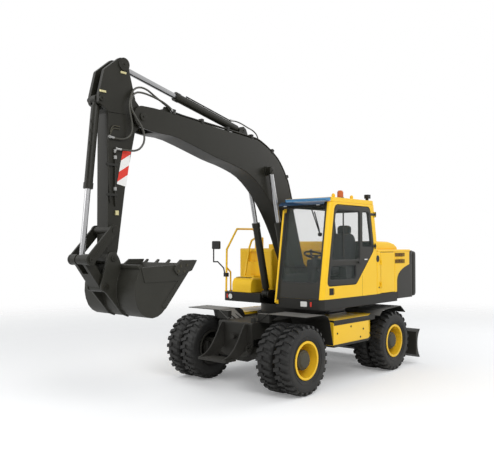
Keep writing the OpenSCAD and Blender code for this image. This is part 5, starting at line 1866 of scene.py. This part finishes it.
@dataclass
class Cushion:
    """A padded cushion: crowned, pulled in between its corners, with sewn channels."""

    name: str
    low: Point
    high: Point
    face_axis: int
    channels: tuple[float, ...] = (-0.45, 0.45)
    channel_w: float = 0.06
    channel_d: float = 0.16
    channel_from: float = 0.5
    pull: float = 0.05
    crown: float = 0.42
    crown_power: int = 4
    thinnest: float = 0.05
    corner: float = 4.0
    edge_in: float = 0.10
    cuts: int = 18
    fill: float = 0.7

    def build(self) -> None:
        bm = bmesh.new()
        bmesh.ops.create_cube(bm, size=2.0)
        bmesh.ops.subdivide_edges(bm, edges=bm.edges, cuts=self.cuts, use_grid_fill=True)
        middle = (Vector(self.low) + Vector(self.high)) / 2
        half = (Vector(self.high) - Vector(self.low)) / 2
        for vert in bm.verts:
            shaped = self._shape(vert.co.copy())
            vert.co = middle + Vector(a * b for a, b in zip(shaped, half))
        mesh = bpy.data.meshes.new(self.name)
        bm.to_mesh(mesh)
        bm.free()
        made = linked(self.name, mesh)
        rounded = made.modifiers.new("soft", "SUBSURF")
        rounded.levels = 1
        rounded.render_levels = 1
        made.data = evaluated(made)
        made.modifiers.clear()
        made.data.materials.append(FABRIC.material())
        made.data.polygons.foreach_set("use_smooth", [True] * len(made.data.polygons))
        handed_over(made, "upper")

    def _shape(self, at: Vector) -> Vector:
        """Moves a point of the plain cube to the cushion.

        Args:
            at: a point on a cube that reaches from -1 to 1.

        Returns:
            The point on the cushion, in the same measure.
        """
        thick = self.face_axis
        across, along = [axis for axis in range(3) if axis != thick]
        u, v, w = at[across], at[along], at[thick]
        reach = (abs(u) ** self.corner + abs(v) ** self.corner) ** (1 / self.corner)
        tuck = (1 - self.edge_in * w * w) * (max(abs(u), abs(v)) / reach if reach > 0 else 1.0)
        at[across] = u * (1 - self.pull * (1 - v * v)) * tuck
        at[along] = v * (1 - self.pull * (1 - u * u)) * tuck
        rim = (u ** self.crown_power + v ** self.crown_power) / 2
        at[thick] = w * math.sqrt(max(self.thinnest, 1 - self.crown * rim))
        if w > self.channel_from:
            sideways = v if along == Y_AXIS else u
            for place in self.channels:
                at[thick] -= self.channel_d * math.exp(-((sideways - place) / self.channel_w) ** 2)
        return at


@dataclass
class Seat:
    """The driver's seat: a suspension base under three padded cushions."""

    y: float = 0.79
    base_x: Flat = (-0.33, 0.12)
    base_top: float = 1.70
    base_half: float = 0.18
    base_round: float = 0.008
    folds: int = 5
    fold_out: float = 0.008
    cushion: tuple[Flat, Flat] = ((-0.38, 1.695), (0.17, 1.85))
    cushion_half: float = 0.25
    back: tuple[Flat, Flat] = ((-0.42, 1.83), (-0.24, 2.40))
    back_half: float = 0.235
    headrest: tuple[Flat, Flat] = ((-0.43, 2.36), (-0.335, 2.52))
    headrest_half: float = 0.125
    headrest_crown: float = 0.6

    def build(self) -> None:
        """Makes the base and its cushions in place of the plain seat."""
        base_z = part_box("seat")[0][2]
        base = Piece("seat_base", "upper", Slot.PLASTIC, PLASTIC, self.base_round)
        (rear, front), half, out = self.base_x, self.base_half, self.fold_out
        base.block((rear, self.y - half, base_z), (front, self.y + half, self.base_top))
        step = (self.base_top - base_z) / (self.folds + 1)
        for i in range(1, self.folds + 1):
            z = base_z + i * step
            low = (rear - out, self.y - half - out, z - out)
            base.block(low, (front + out, self.y + half + out, z + out))
        made = base.done()
        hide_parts("seat")
        Cushion("seat_cushion", *self._corners(self.cushion, self.cushion_half), Z_AXIS).build()
        Cushion("seat_back", *self._corners(self.back, self.back_half), X_AXIS).build()
        corners = self._corners(self.headrest, self.headrest_half)
        Cushion("seat_headrest", *corners, X_AXIS, channels=(), pull=0.0, crown=self.headrest_crown).build()

    def _corners(self, outline: tuple[Flat, Flat], half: float) -> tuple[Point, Point]:
        """Returns a cushion's two corners from its outline in x and z and its half width."""
        (rear, low), (front, high) = outline
        return (rear, self.y - half, low), (front, self.y + half, high)


@dataclass
class Cab:
    """Window seals, the windscreen's bar and wiper, the door's trim and the vent in the cab's sill."""

    kit: Fasteners
    middle: Point = (0.0, 0.78, 2.1)
    seal_r: float = 0.011
    seal_inset: float = 0.4
    seal_sides: int = 8
    flat_deg: float = 1.0
    least_area: float = 0.03
    screen_x: float = 0.8
    bar_z: float = 1.845
    bar_y: Flat = (0.40, 1.125)
    bar_lift: float = 0.002
    blade: tuple[Flat, Flat] = ((0.867, 2.756), (1.065, 2.367))
    blade_lift: float = 0.014
    arm: tuple[Flat, Flat] = ((0.942, 2.707), (1.062, 2.428))
    arm_lift: float = 0.032
    foot: Flat = (1.070, 2.352)
    foot_profile: tuple[Flat, ...] = ((0.030, -0.004), (0.030, 0.030), (0.020, 0.042))
    foot_sides: int = 20
    wiper_r: float = 0.009
    wiper_sides: int = 10
    joint_share: float = 0.7
    joint_sides: int = 8
    handle: tuple[Flat, Flat] = ((-0.395, 1.944), (-0.312, 1.962))
    handle_spot: float = 0.03
    handle_sunk: float = 0.004
    handle_rise: float = 0.012
    slide_x: float = 0.287
    slide_z: Flat = (2.00, 2.70)
    slide_half: Flat = (0.014, 0.006)
    trim_round: float = 0.003
    vent_x: float = 0.60
    vent_z: float = 1.475
    vent_spot: float = 0.06
    vent_rise: float = 0.001
    vent_step: float = 0.017
    vent_count: int = 7
    vent_bar: Point = (0.012, 0.006, 0.105)

    def build(self) -> None:
        """Makes the cab's trim."""
        self._seals("cab_glass", "upper")
        self._seals("door_glass", "cab_door")
        self._wiper()
        self._door_trim()
        face = PROBE.side("cab_frame", self.vent_x - self.vent_spot, self.vent_z, Side.LEFT)
        if face is not None:
            start = (self.vent_x, face + self.vent_rise, self.vent_z)
            step = (self.vent_step, 0.0, 0.0)
            self.kit.row("sill_vent", "upper", start, step, self.vent_bar, self.vent_count, PLASTIC,
                         Slot.PLASTIC)

    def _door_trim(self) -> None:
        """Makes the door's pale handle and the upright of its sliding pane."""
        (left, low), (right, high) = self.handle
        face = PROBE.side("cab_door", (left + right) / 2, low - self.handle_spot, Side.LEFT)
        if face is not None:
            handle = Piece("door_handle", "cab_door", Slot.CHROME, WHITE, self.trim_round)
            handle.block((left, face - self.handle_sunk, low), (right, face + self.handle_rise, high))
            handle.done()
        pane = PROBE.side("door_glass", self.slide_x, sum(self.slide_z) / 2, Side.LEFT)
        if pane is not None:
            half_x, half_y = self.slide_half
            upright = Piece("door_slide_bar", "cab_door", Slot.PLASTIC, PANEL_GREY, self.trim_round)
            upright.block((self.slide_x - half_x, pane - half_y, self.slide_z[0]),
                          (self.slide_x + half_x, pane + half_y, self.slide_z[1]))
            upright.done()

    def _seals(self, node: str, body: str) -> None:
        """Lays a rubber seal round the outer face of each pane.

        Args:
            node: the panes' CAD node.
            body: the body that carries them.
        """
        bm = bmesh.new()
        bm.from_mesh(frame["nodes"][node].data)
        bmesh.ops.remove_doubles(bm, verts=bm.verts, dist=MERGE)
        bmesh.ops.dissolve_limit(bm, angle_limit=math.radians(self.flat_deg), verts=bm.verts, edges=bm.edges)
        seals = Piece(f"{node}_seals", body, Slot.PLASTIC, SEAL)
        for face in bm.faces:
            centre = face.calc_center_median()
            outward = (centre - Vector(self.middle)).dot(face.normal) > 0
            if outward and face.calc_area() > self.least_area:
                ways = [(centre - v.co).normalized() * self.seal_r * self.seal_inset for v in face.verts]
                corners = [tuple(v.co + way) for v, way in zip(face.verts, ways)]
                seals.pipe(corners, self.seal_r, self.seal_sides, closed=True)
        bm.free()
        seals.done()

    def _on_screen(self, y: float, z: float, lift: float) -> Point:
        """Finds a point in front of the windscreen.

        Args:
            y: the point's y.
            z: its height.
            lift: how far it stands off the screen.

        Returns:
            The point.
        """
        x = PROBE.front("cab_glass", y, z)
        if x is None:
            x = PROBE.front("cab_frame", y, z) or self.screen_x
        return x + lift, y, z

    def _wiper(self) -> None:
        """Makes the bar across the windscreen and the wiper on it."""
        trim = Piece("windscreen_bar", "upper", Slot.PLASTIC, SEAL)
        trim.rod(*(self._on_screen(y, self.bar_z, self.bar_lift) for y in self.bar_y), self.seal_r)
        trim.done()
        wiper = Piece("wiper", "upper", Slot.PLASTIC, PLASTIC)
        for (start, end), lift in ((self.blade, self.blade_lift), (self.arm, self.arm_lift)):
            ends = self._on_screen(*start, lift), self._on_screen(*end, lift)
            wiper.rod(*ends, self.wiper_r, self.wiper_sides)
        wiper.turned(self._on_screen(*self.foot, 0.0), FORWARD, self.foot_profile, self.foot_sides)
        knee = self._on_screen(*self.foot, self.arm_lift), self._on_screen(*self.arm[1], self.arm_lift)
        wiper.rod(*knee, self.wiper_r, self.wiper_sides)
        mid_blade, mid_arm = (tuple((a + b) / 2 for a, b in zip(*line)) for line in (self.blade, self.arm))
        joint = self._on_screen(*mid_blade, self.blade_lift), self._on_screen(*mid_arm, self.arm_lift)
        wiper.rod(*joint, self.wiper_r * self.joint_share, self.joint_sides)
        wiper.done()


@dataclass
class House:
    """The hood's hump, the counterweight's back, latches, louvres, bolts, roof eyes and the step's treads."""

    kit: Fasteners
    latch: Flat = (-0.748, 1.957)
    latch_size: Flat = (0.048, 0.056)
    latch_spot: float = 0.082
    latch_sunk: float = 0.002
    latch_rise: float = 0.004
    latch_sides: int = 28
    louvre_x: Flat = (-1.365, -1.690)
    louvre_rows: tuple[Flat, Flat] = ((1.865, 1.935), (1.985, 2.050))
    louvre_count: int = 10
    louvre_spot: float = 0.004
    louvre_share: float = 0.72
    louvre_t: float = 0.005
    knobs: tuple[Point, ...] = ((0.262, 1.0, 2.93), (-0.28, 1.0, 2.93))
    knob_profile: tuple[Flat, ...] = (
        (0.036, -0.004), (0.036, 0.02), (0.026, 0.03), (0.030, 0.06), (0.014, 0.085),
    )
    hump_half: float = 1.15
    hump_line: tuple[Flat, ...] = (
        (-0.80, 2.10), (-0.82, 2.245), (-0.86, 2.257), (-1.28, 2.247), (-1.46, 2.212), (-1.56, 2.160),
        (-1.60, 2.10),
    )
    hump_round: float = 0.035
    bulge: float = 0.085
    bulge_round: float = 0.055
    bulge_inset: Flat = (0.003, 0.008)
    dots: tuple[Flat, ...] = ((-0.625, 2.825), (-0.79, 1.47))
    dot_r: float = 0.010
    dot_least_y: float = 1.0
    tread_back: float = 0.1
    tread_from: float = 4.0
    tread_share: float = 0.7
    tread_count: int = 9
    tread: Point = (0.12, 0.010, 0.008)

    def build(self) -> None:
        """Makes the house's small parts."""
        for side in Side:
            self._latch(side)
            self._louvres(side)
        self._hump()
        self._bulge()
        self._roof_eyes()
        self._dots()
        self._treads()

    def _latch(self, side: Side) -> None:
        """Makes the round latch beside a side door.

        Args:
            side: the door's side.
        """
        face = PROBE.side("house_panels", self.latch[0] - self.latch_spot, self.latch[1], side)
        if face is None:
            return
        (x, z), (half_x, half_z) = self.latch, self.latch_size
        turns = round_angles(self.latch_sides)
        outline = [(x + math.cos(a) * half_x, z + math.sin(a) * half_z) for a in turns]
        latch = Piece(f"latch_{side.label}", "upper", Slot.PLASTIC, PLASTIC)
        latch.plate(outline, face - side.value * self.latch_sunk, face + side.value * self.latch_rise)
        latch.done()

    def _louvres(self, side: Side) -> None:
        """Makes dark brown bars in two rows, which are painted shade inside the louvres.

        Args:
            side: the louvres' side.
        """
        step = (self.louvre_x[1] - self.louvre_x[0]) / (self.louvre_count - 1)
        for i, (low, high) in enumerate(self.louvre_rows):
            face = PROBE.side("house_panels", self.louvre_x[0], high + self.louvre_spot, side)
            if face is None:
                continue
            start = (self.louvre_x[0], face, (low + high) / 2)
            bar = (abs(step) * self.louvre_share, self.louvre_t, high - low)
            # Each row of bars is painted shade over a louvre's openings.
            self.kit.row(f"louvres_{i}_{side.label}", "upper", start, (step, 0.0, 0.0), bar,
                         self.louvre_count, LOUVRE_SHADE, Slot.PLASTIC)

    def _hump(self) -> None:
        """Makes the hood's raised middle, which falls a little to the rear."""
        hump = Piece("hood_hump", "hood", Slot.YELLOW, YELLOW, self.hump_round)
        hump.plate(self.hump_line, -self.hump_half, self.hump_half)
        hump.done()

    def _bulge(self) -> None:
        """Makes the rounded back of the counterweight."""
        low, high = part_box("counterweight")
        side, edge = self.bulge_inset
        back = Piece("counterweight_back", "upper", Slot.BOOM, PANEL_GREY, self.bulge_round)
        back.block((low[0] - self.bulge, low[1] + side, low[2] + edge),
                   (low[0] + self.bulge, high[1] - side, high[2] - edge))
        back.done()

    def _roof_eyes(self) -> None:
        """Makes the small lifting eyes beside the beacon."""
        eyes = Piece("roof_eyes", "upper", Slot.YELLOW, YELLOW)
        for at in self.knobs:
            eyes.turned(at, UP, self.knob_profile)
        eyes.done()

    def _dots(self) -> None:
        """Makes the round bolts on the cab's left side."""
        places = []
        for x, z in self.dots:
            for node in ("cab_frame", "house_panels"):
                face = PROBE.side(node, x, z, Side.LEFT)
                if face is not None and face > self.dot_least_y:
                    places.append(((x, face, z), LEFTWARD))
                    break
        self.kit.bolts("house_bolts", "upper", places, self.dot_r, PLASTIC, Slot.PLASTIC)

    def _treads(self) -> None:
        """Makes the bars on the step box."""
        low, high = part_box("step_box")
        middle = (low[1] + high[1]) / 2
        top = PROBE.hit("step_box", (high[0] - self.tread_back, middle, self.tread_from), DOWN)
        if top is None:
            return
        span = (high[1] - low[1]) * self.tread_share
        step = (0.0, span / (self.tread_count - 1), 0.0)
        start = (top.x, middle - span / 2, top.z)
        self.kit.row("step_treads", "upper", start, step, self.tread, self.tread_count, PLASTIC, Slot.PLASTIC)


PILLAR_Y = 1.158
CAB_MIDDLE = Vector(Cab.middle)
FORWARD_FACE = 0.6
TOP_FACE = 0.5
LID_FACE = 0.7
LENS_FACE = 0.8
SILL_TOP = 0.652
BAND_LOW = 0.983
ROOF_LAMPS_LOW = 2.90
BEACON_LOW = 2.962
BEACON_X = 0.06
BEACON_HALF = 0.09
REFLECTOR_TOP = 1.33
REFLECTOR_SPANS = ((1.0, 1.04), (-1.12, -1.07))
HUB_R = 0.140
EYE_R = 0.100
REAR_STRIP = 0.070


def cab_rule(centre: Vector, normal: Vector) -> int:
    """Paints the cab: yellow shell, dark front wall and dark trim inside.

    Args:
        centre: a face's centre.
        normal: the face's normal.

    Returns:
        The number of the face's finish.
    """
    if (CAB_MIDDLE - centre).dot(normal) > 0:
        return 2
    return int(normal.x > FORWARD_FACE and centre.y < PILLAR_Y)


def roof_rule(centre: Vector, normal: Vector) -> int:
    """Yellow with the visor's blue edge in front."""
    return int(normal.x > FORWARD_FACE)


def door_rule(centre: Vector, normal: Vector) -> int:
    """Dark outside, trim inside."""
    return int((CAB_MIDDLE - centre).dot(normal) > 0)


def box_rule(centre: Vector, normal: Vector) -> int:
    """Yellow box with a dark sill and a dark band under its lid."""
    return int(centre.z < SILL_TOP or (centre.z > BAND_LOW and normal.z < LID_FACE))


def fender_rule(centre: Vector, normal: Vector) -> int:
    """Paler on top."""
    return int(normal.z > TOP_FACE)


def lamp_rule(centre: Vector, normal: Vector) -> int:
    """Paints the lamps: black housings, amber beacon, clear lenses and red reflectors.

    Args:
        centre: a face's centre.
        normal: the face's normal.

    Returns:
        The number of the face's finish.
    """
    if centre.z > ROOF_LAMPS_LOW:
        return int(centre.z > BEACON_LOW and abs(centre.x - BEACON_X) < BEACON_HALF)
    if centre.z < REFLECTOR_TOP and any(low < centre.y < high for low, high in REFLECTOR_SPANS):
        return 3
    return 2 if normal.x > LENS_FACE else 0


def rim_rule(x: float) -> FaceRule:
    """Makes the rule of a rim: yellow outside, dark at the hub and on the inner wheel.

    Args:
        x: the axle's place.

    Returns:
        The rule.
    """
    axis = Vector((x, Wheels.axle_z))

    def rule(centre: Vector, normal: Vector) -> int:
        """Dark near the axle and on the inner wheel."""
        return int((centre.xz - axis).length < HUB_R or abs(centre.y) < Wheels.track_y)

    return rule


def quarter_rule(x: float) -> FaceRule:
    """Returns the rule of the engine house: yellow with a dark strip behind an x."""
    return lambda centre, normal: int(centre.x < x)


def rod_rule(pin: Flat) -> FaceRule:
    """Returns the rule of a rod: chrome with a dark eye at its pin."""
    return lambda centre, normal: int((centre.xz - Vector(pin)).length < EYE_R)


YELLOW_NODES = ("hood", "side_door_left", "side_door_right", "tank", "step_box")
DARK_NODES = ("chassis_frame", "slew_ring", "front_axle", "rear_axle", "knuckle_left", "knuckle_right",
              "blade", "blade_barrels", "swing_frame")
FRONT_NODES = ("boom", "boom_barrels", "arm", "arm_barrel", "rocker", "link", "bucket_barrel")
ROD_PINS = {"boom_rods": (0.92, 3.38), "arm_rod": (3.75, 4.51), "bucket_rod": (4.29, 2.01)}


def outfits() -> list[Outfit]:
    """Lists what every CAD node but the seat and the tyres wears.

    Returns:
        The outfits, in the order in which the pieces are made.
    """
    strip_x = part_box("house_panels")[0][0] + REAR_STRIP
    rods = [
        Outfit((node,), (CHROME, BOOM_GREY), Slot.CHROME, round_w=0.004, rule=rod_rule(pin))
        for node, pin in ROD_PINS.items()
    ]
    rims = [
        Outfit(tuple(f"rims_{axle}_{side.label}" for side in Side), (YELLOW, FRAME_GREY), Slot.YELLOW,
               round_w=0.004, rule=rim_rule(x))
        for axle, x in AXLES.items()
    ]
    return [
        Outfit(YELLOW_NODES, (YELLOW,), Slot.YELLOW, round_w=0.010),
        Outfit(DARK_NODES, (FRAME_GREY,), Slot.CHASSIS, round_w=0.006),
        Outfit(FRONT_NODES, (BOOM_GREY,), Slot.BOOM, round_w=0.008),
        *rods,
        Outfit(("blade_rods",), (CHROME,), Slot.CHROME, round_w=0.004),
        *rims,
        Outfit(("house_panels",), (YELLOW, PANEL_GREY), Slot.YELLOW, round_w=0.010,
               rule=quarter_rule(strip_x), cuts=(((strip_x, 0.0, 0.0), FORWARD),)),
        Outfit(("counterweight",), (PANEL_GREY,), Slot.BOOM, round_w=0.012),
        Outfit(("bucket",), (BUCKET_GREY,), Slot.BOOM, round_w=0.006),
        Outfit(("fenders",), (FRAME_GREY, FENDER_TOP), Slot.CHASSIS, round_w=0.004, rule=fender_rule),
        Outfit(("front_step",), (STEP_GREY,), Slot.CHASSIS, round_w=0.006),
        Outfit(("toolboxes",), (YELLOW, FRAME_GREY), Slot.YELLOW, round_w=0.010, rule=box_rule),
        Outfit(("engine",), (IRON,), Slot.IRON, round_w=0.008),
        Outfit(("handrails",), (YELLOW,), Slot.YELLOW, round_w=0.003),
        Outfit(("cab_frame",), (YELLOW, PANEL_GREY, TRIM), Slot.YELLOW, round_w=0.010, rule=cab_rule,
               cuts=(((0.0, PILLAR_Y, 0.0), LEFTWARD),)),
        Outfit(("cab_roof",), (YELLOW, VISOR_TOP), Slot.YELLOW, round_w=0.014, rule=roof_rule),
        Outfit(("cab_door",), (PANEL_GREY, TRIM), Slot.BOOM, round_w=0.008, rule=door_rule),
        Outfit(("mirrors", "controls"), (PLASTIC,), Slot.PLASTIC, round_w=0.006),
        Outfit(("cab_glass", "door_glass"), (GLASS,), Slot.WINDOW, round_w=0.001),
        Outfit(("visor",), (VISOR,), Slot.VISOR, round_w=0.003),
        Outfit(("lamps",), (PLASTIC, AMBER, LENS, RED), Slot.LENS, round_w=0.004, rule=lamp_rule),
    ]


def main() -> None:
    """Builds the studio and every piece in order."""
    logging.basicConfig(level=logging.INFO)
    Studio().build()
    dresser = Dresser()
    kit = Fasteners()
    Hydraulics(kit).build()
    for outfit in outfits():
        for node in outfit.nodes:
            dresser.dress(node, outfit)
    Seat().build()
    Cab(kit).build()
    House(kit).build()
    ArmMarks().build()
    Pins(dresser, kit).build()
    Wheels(kit).build()
    Undercarriage(kit).build()
    BucketBolts(kit).build()


if __name__ == "__main__":
    main()
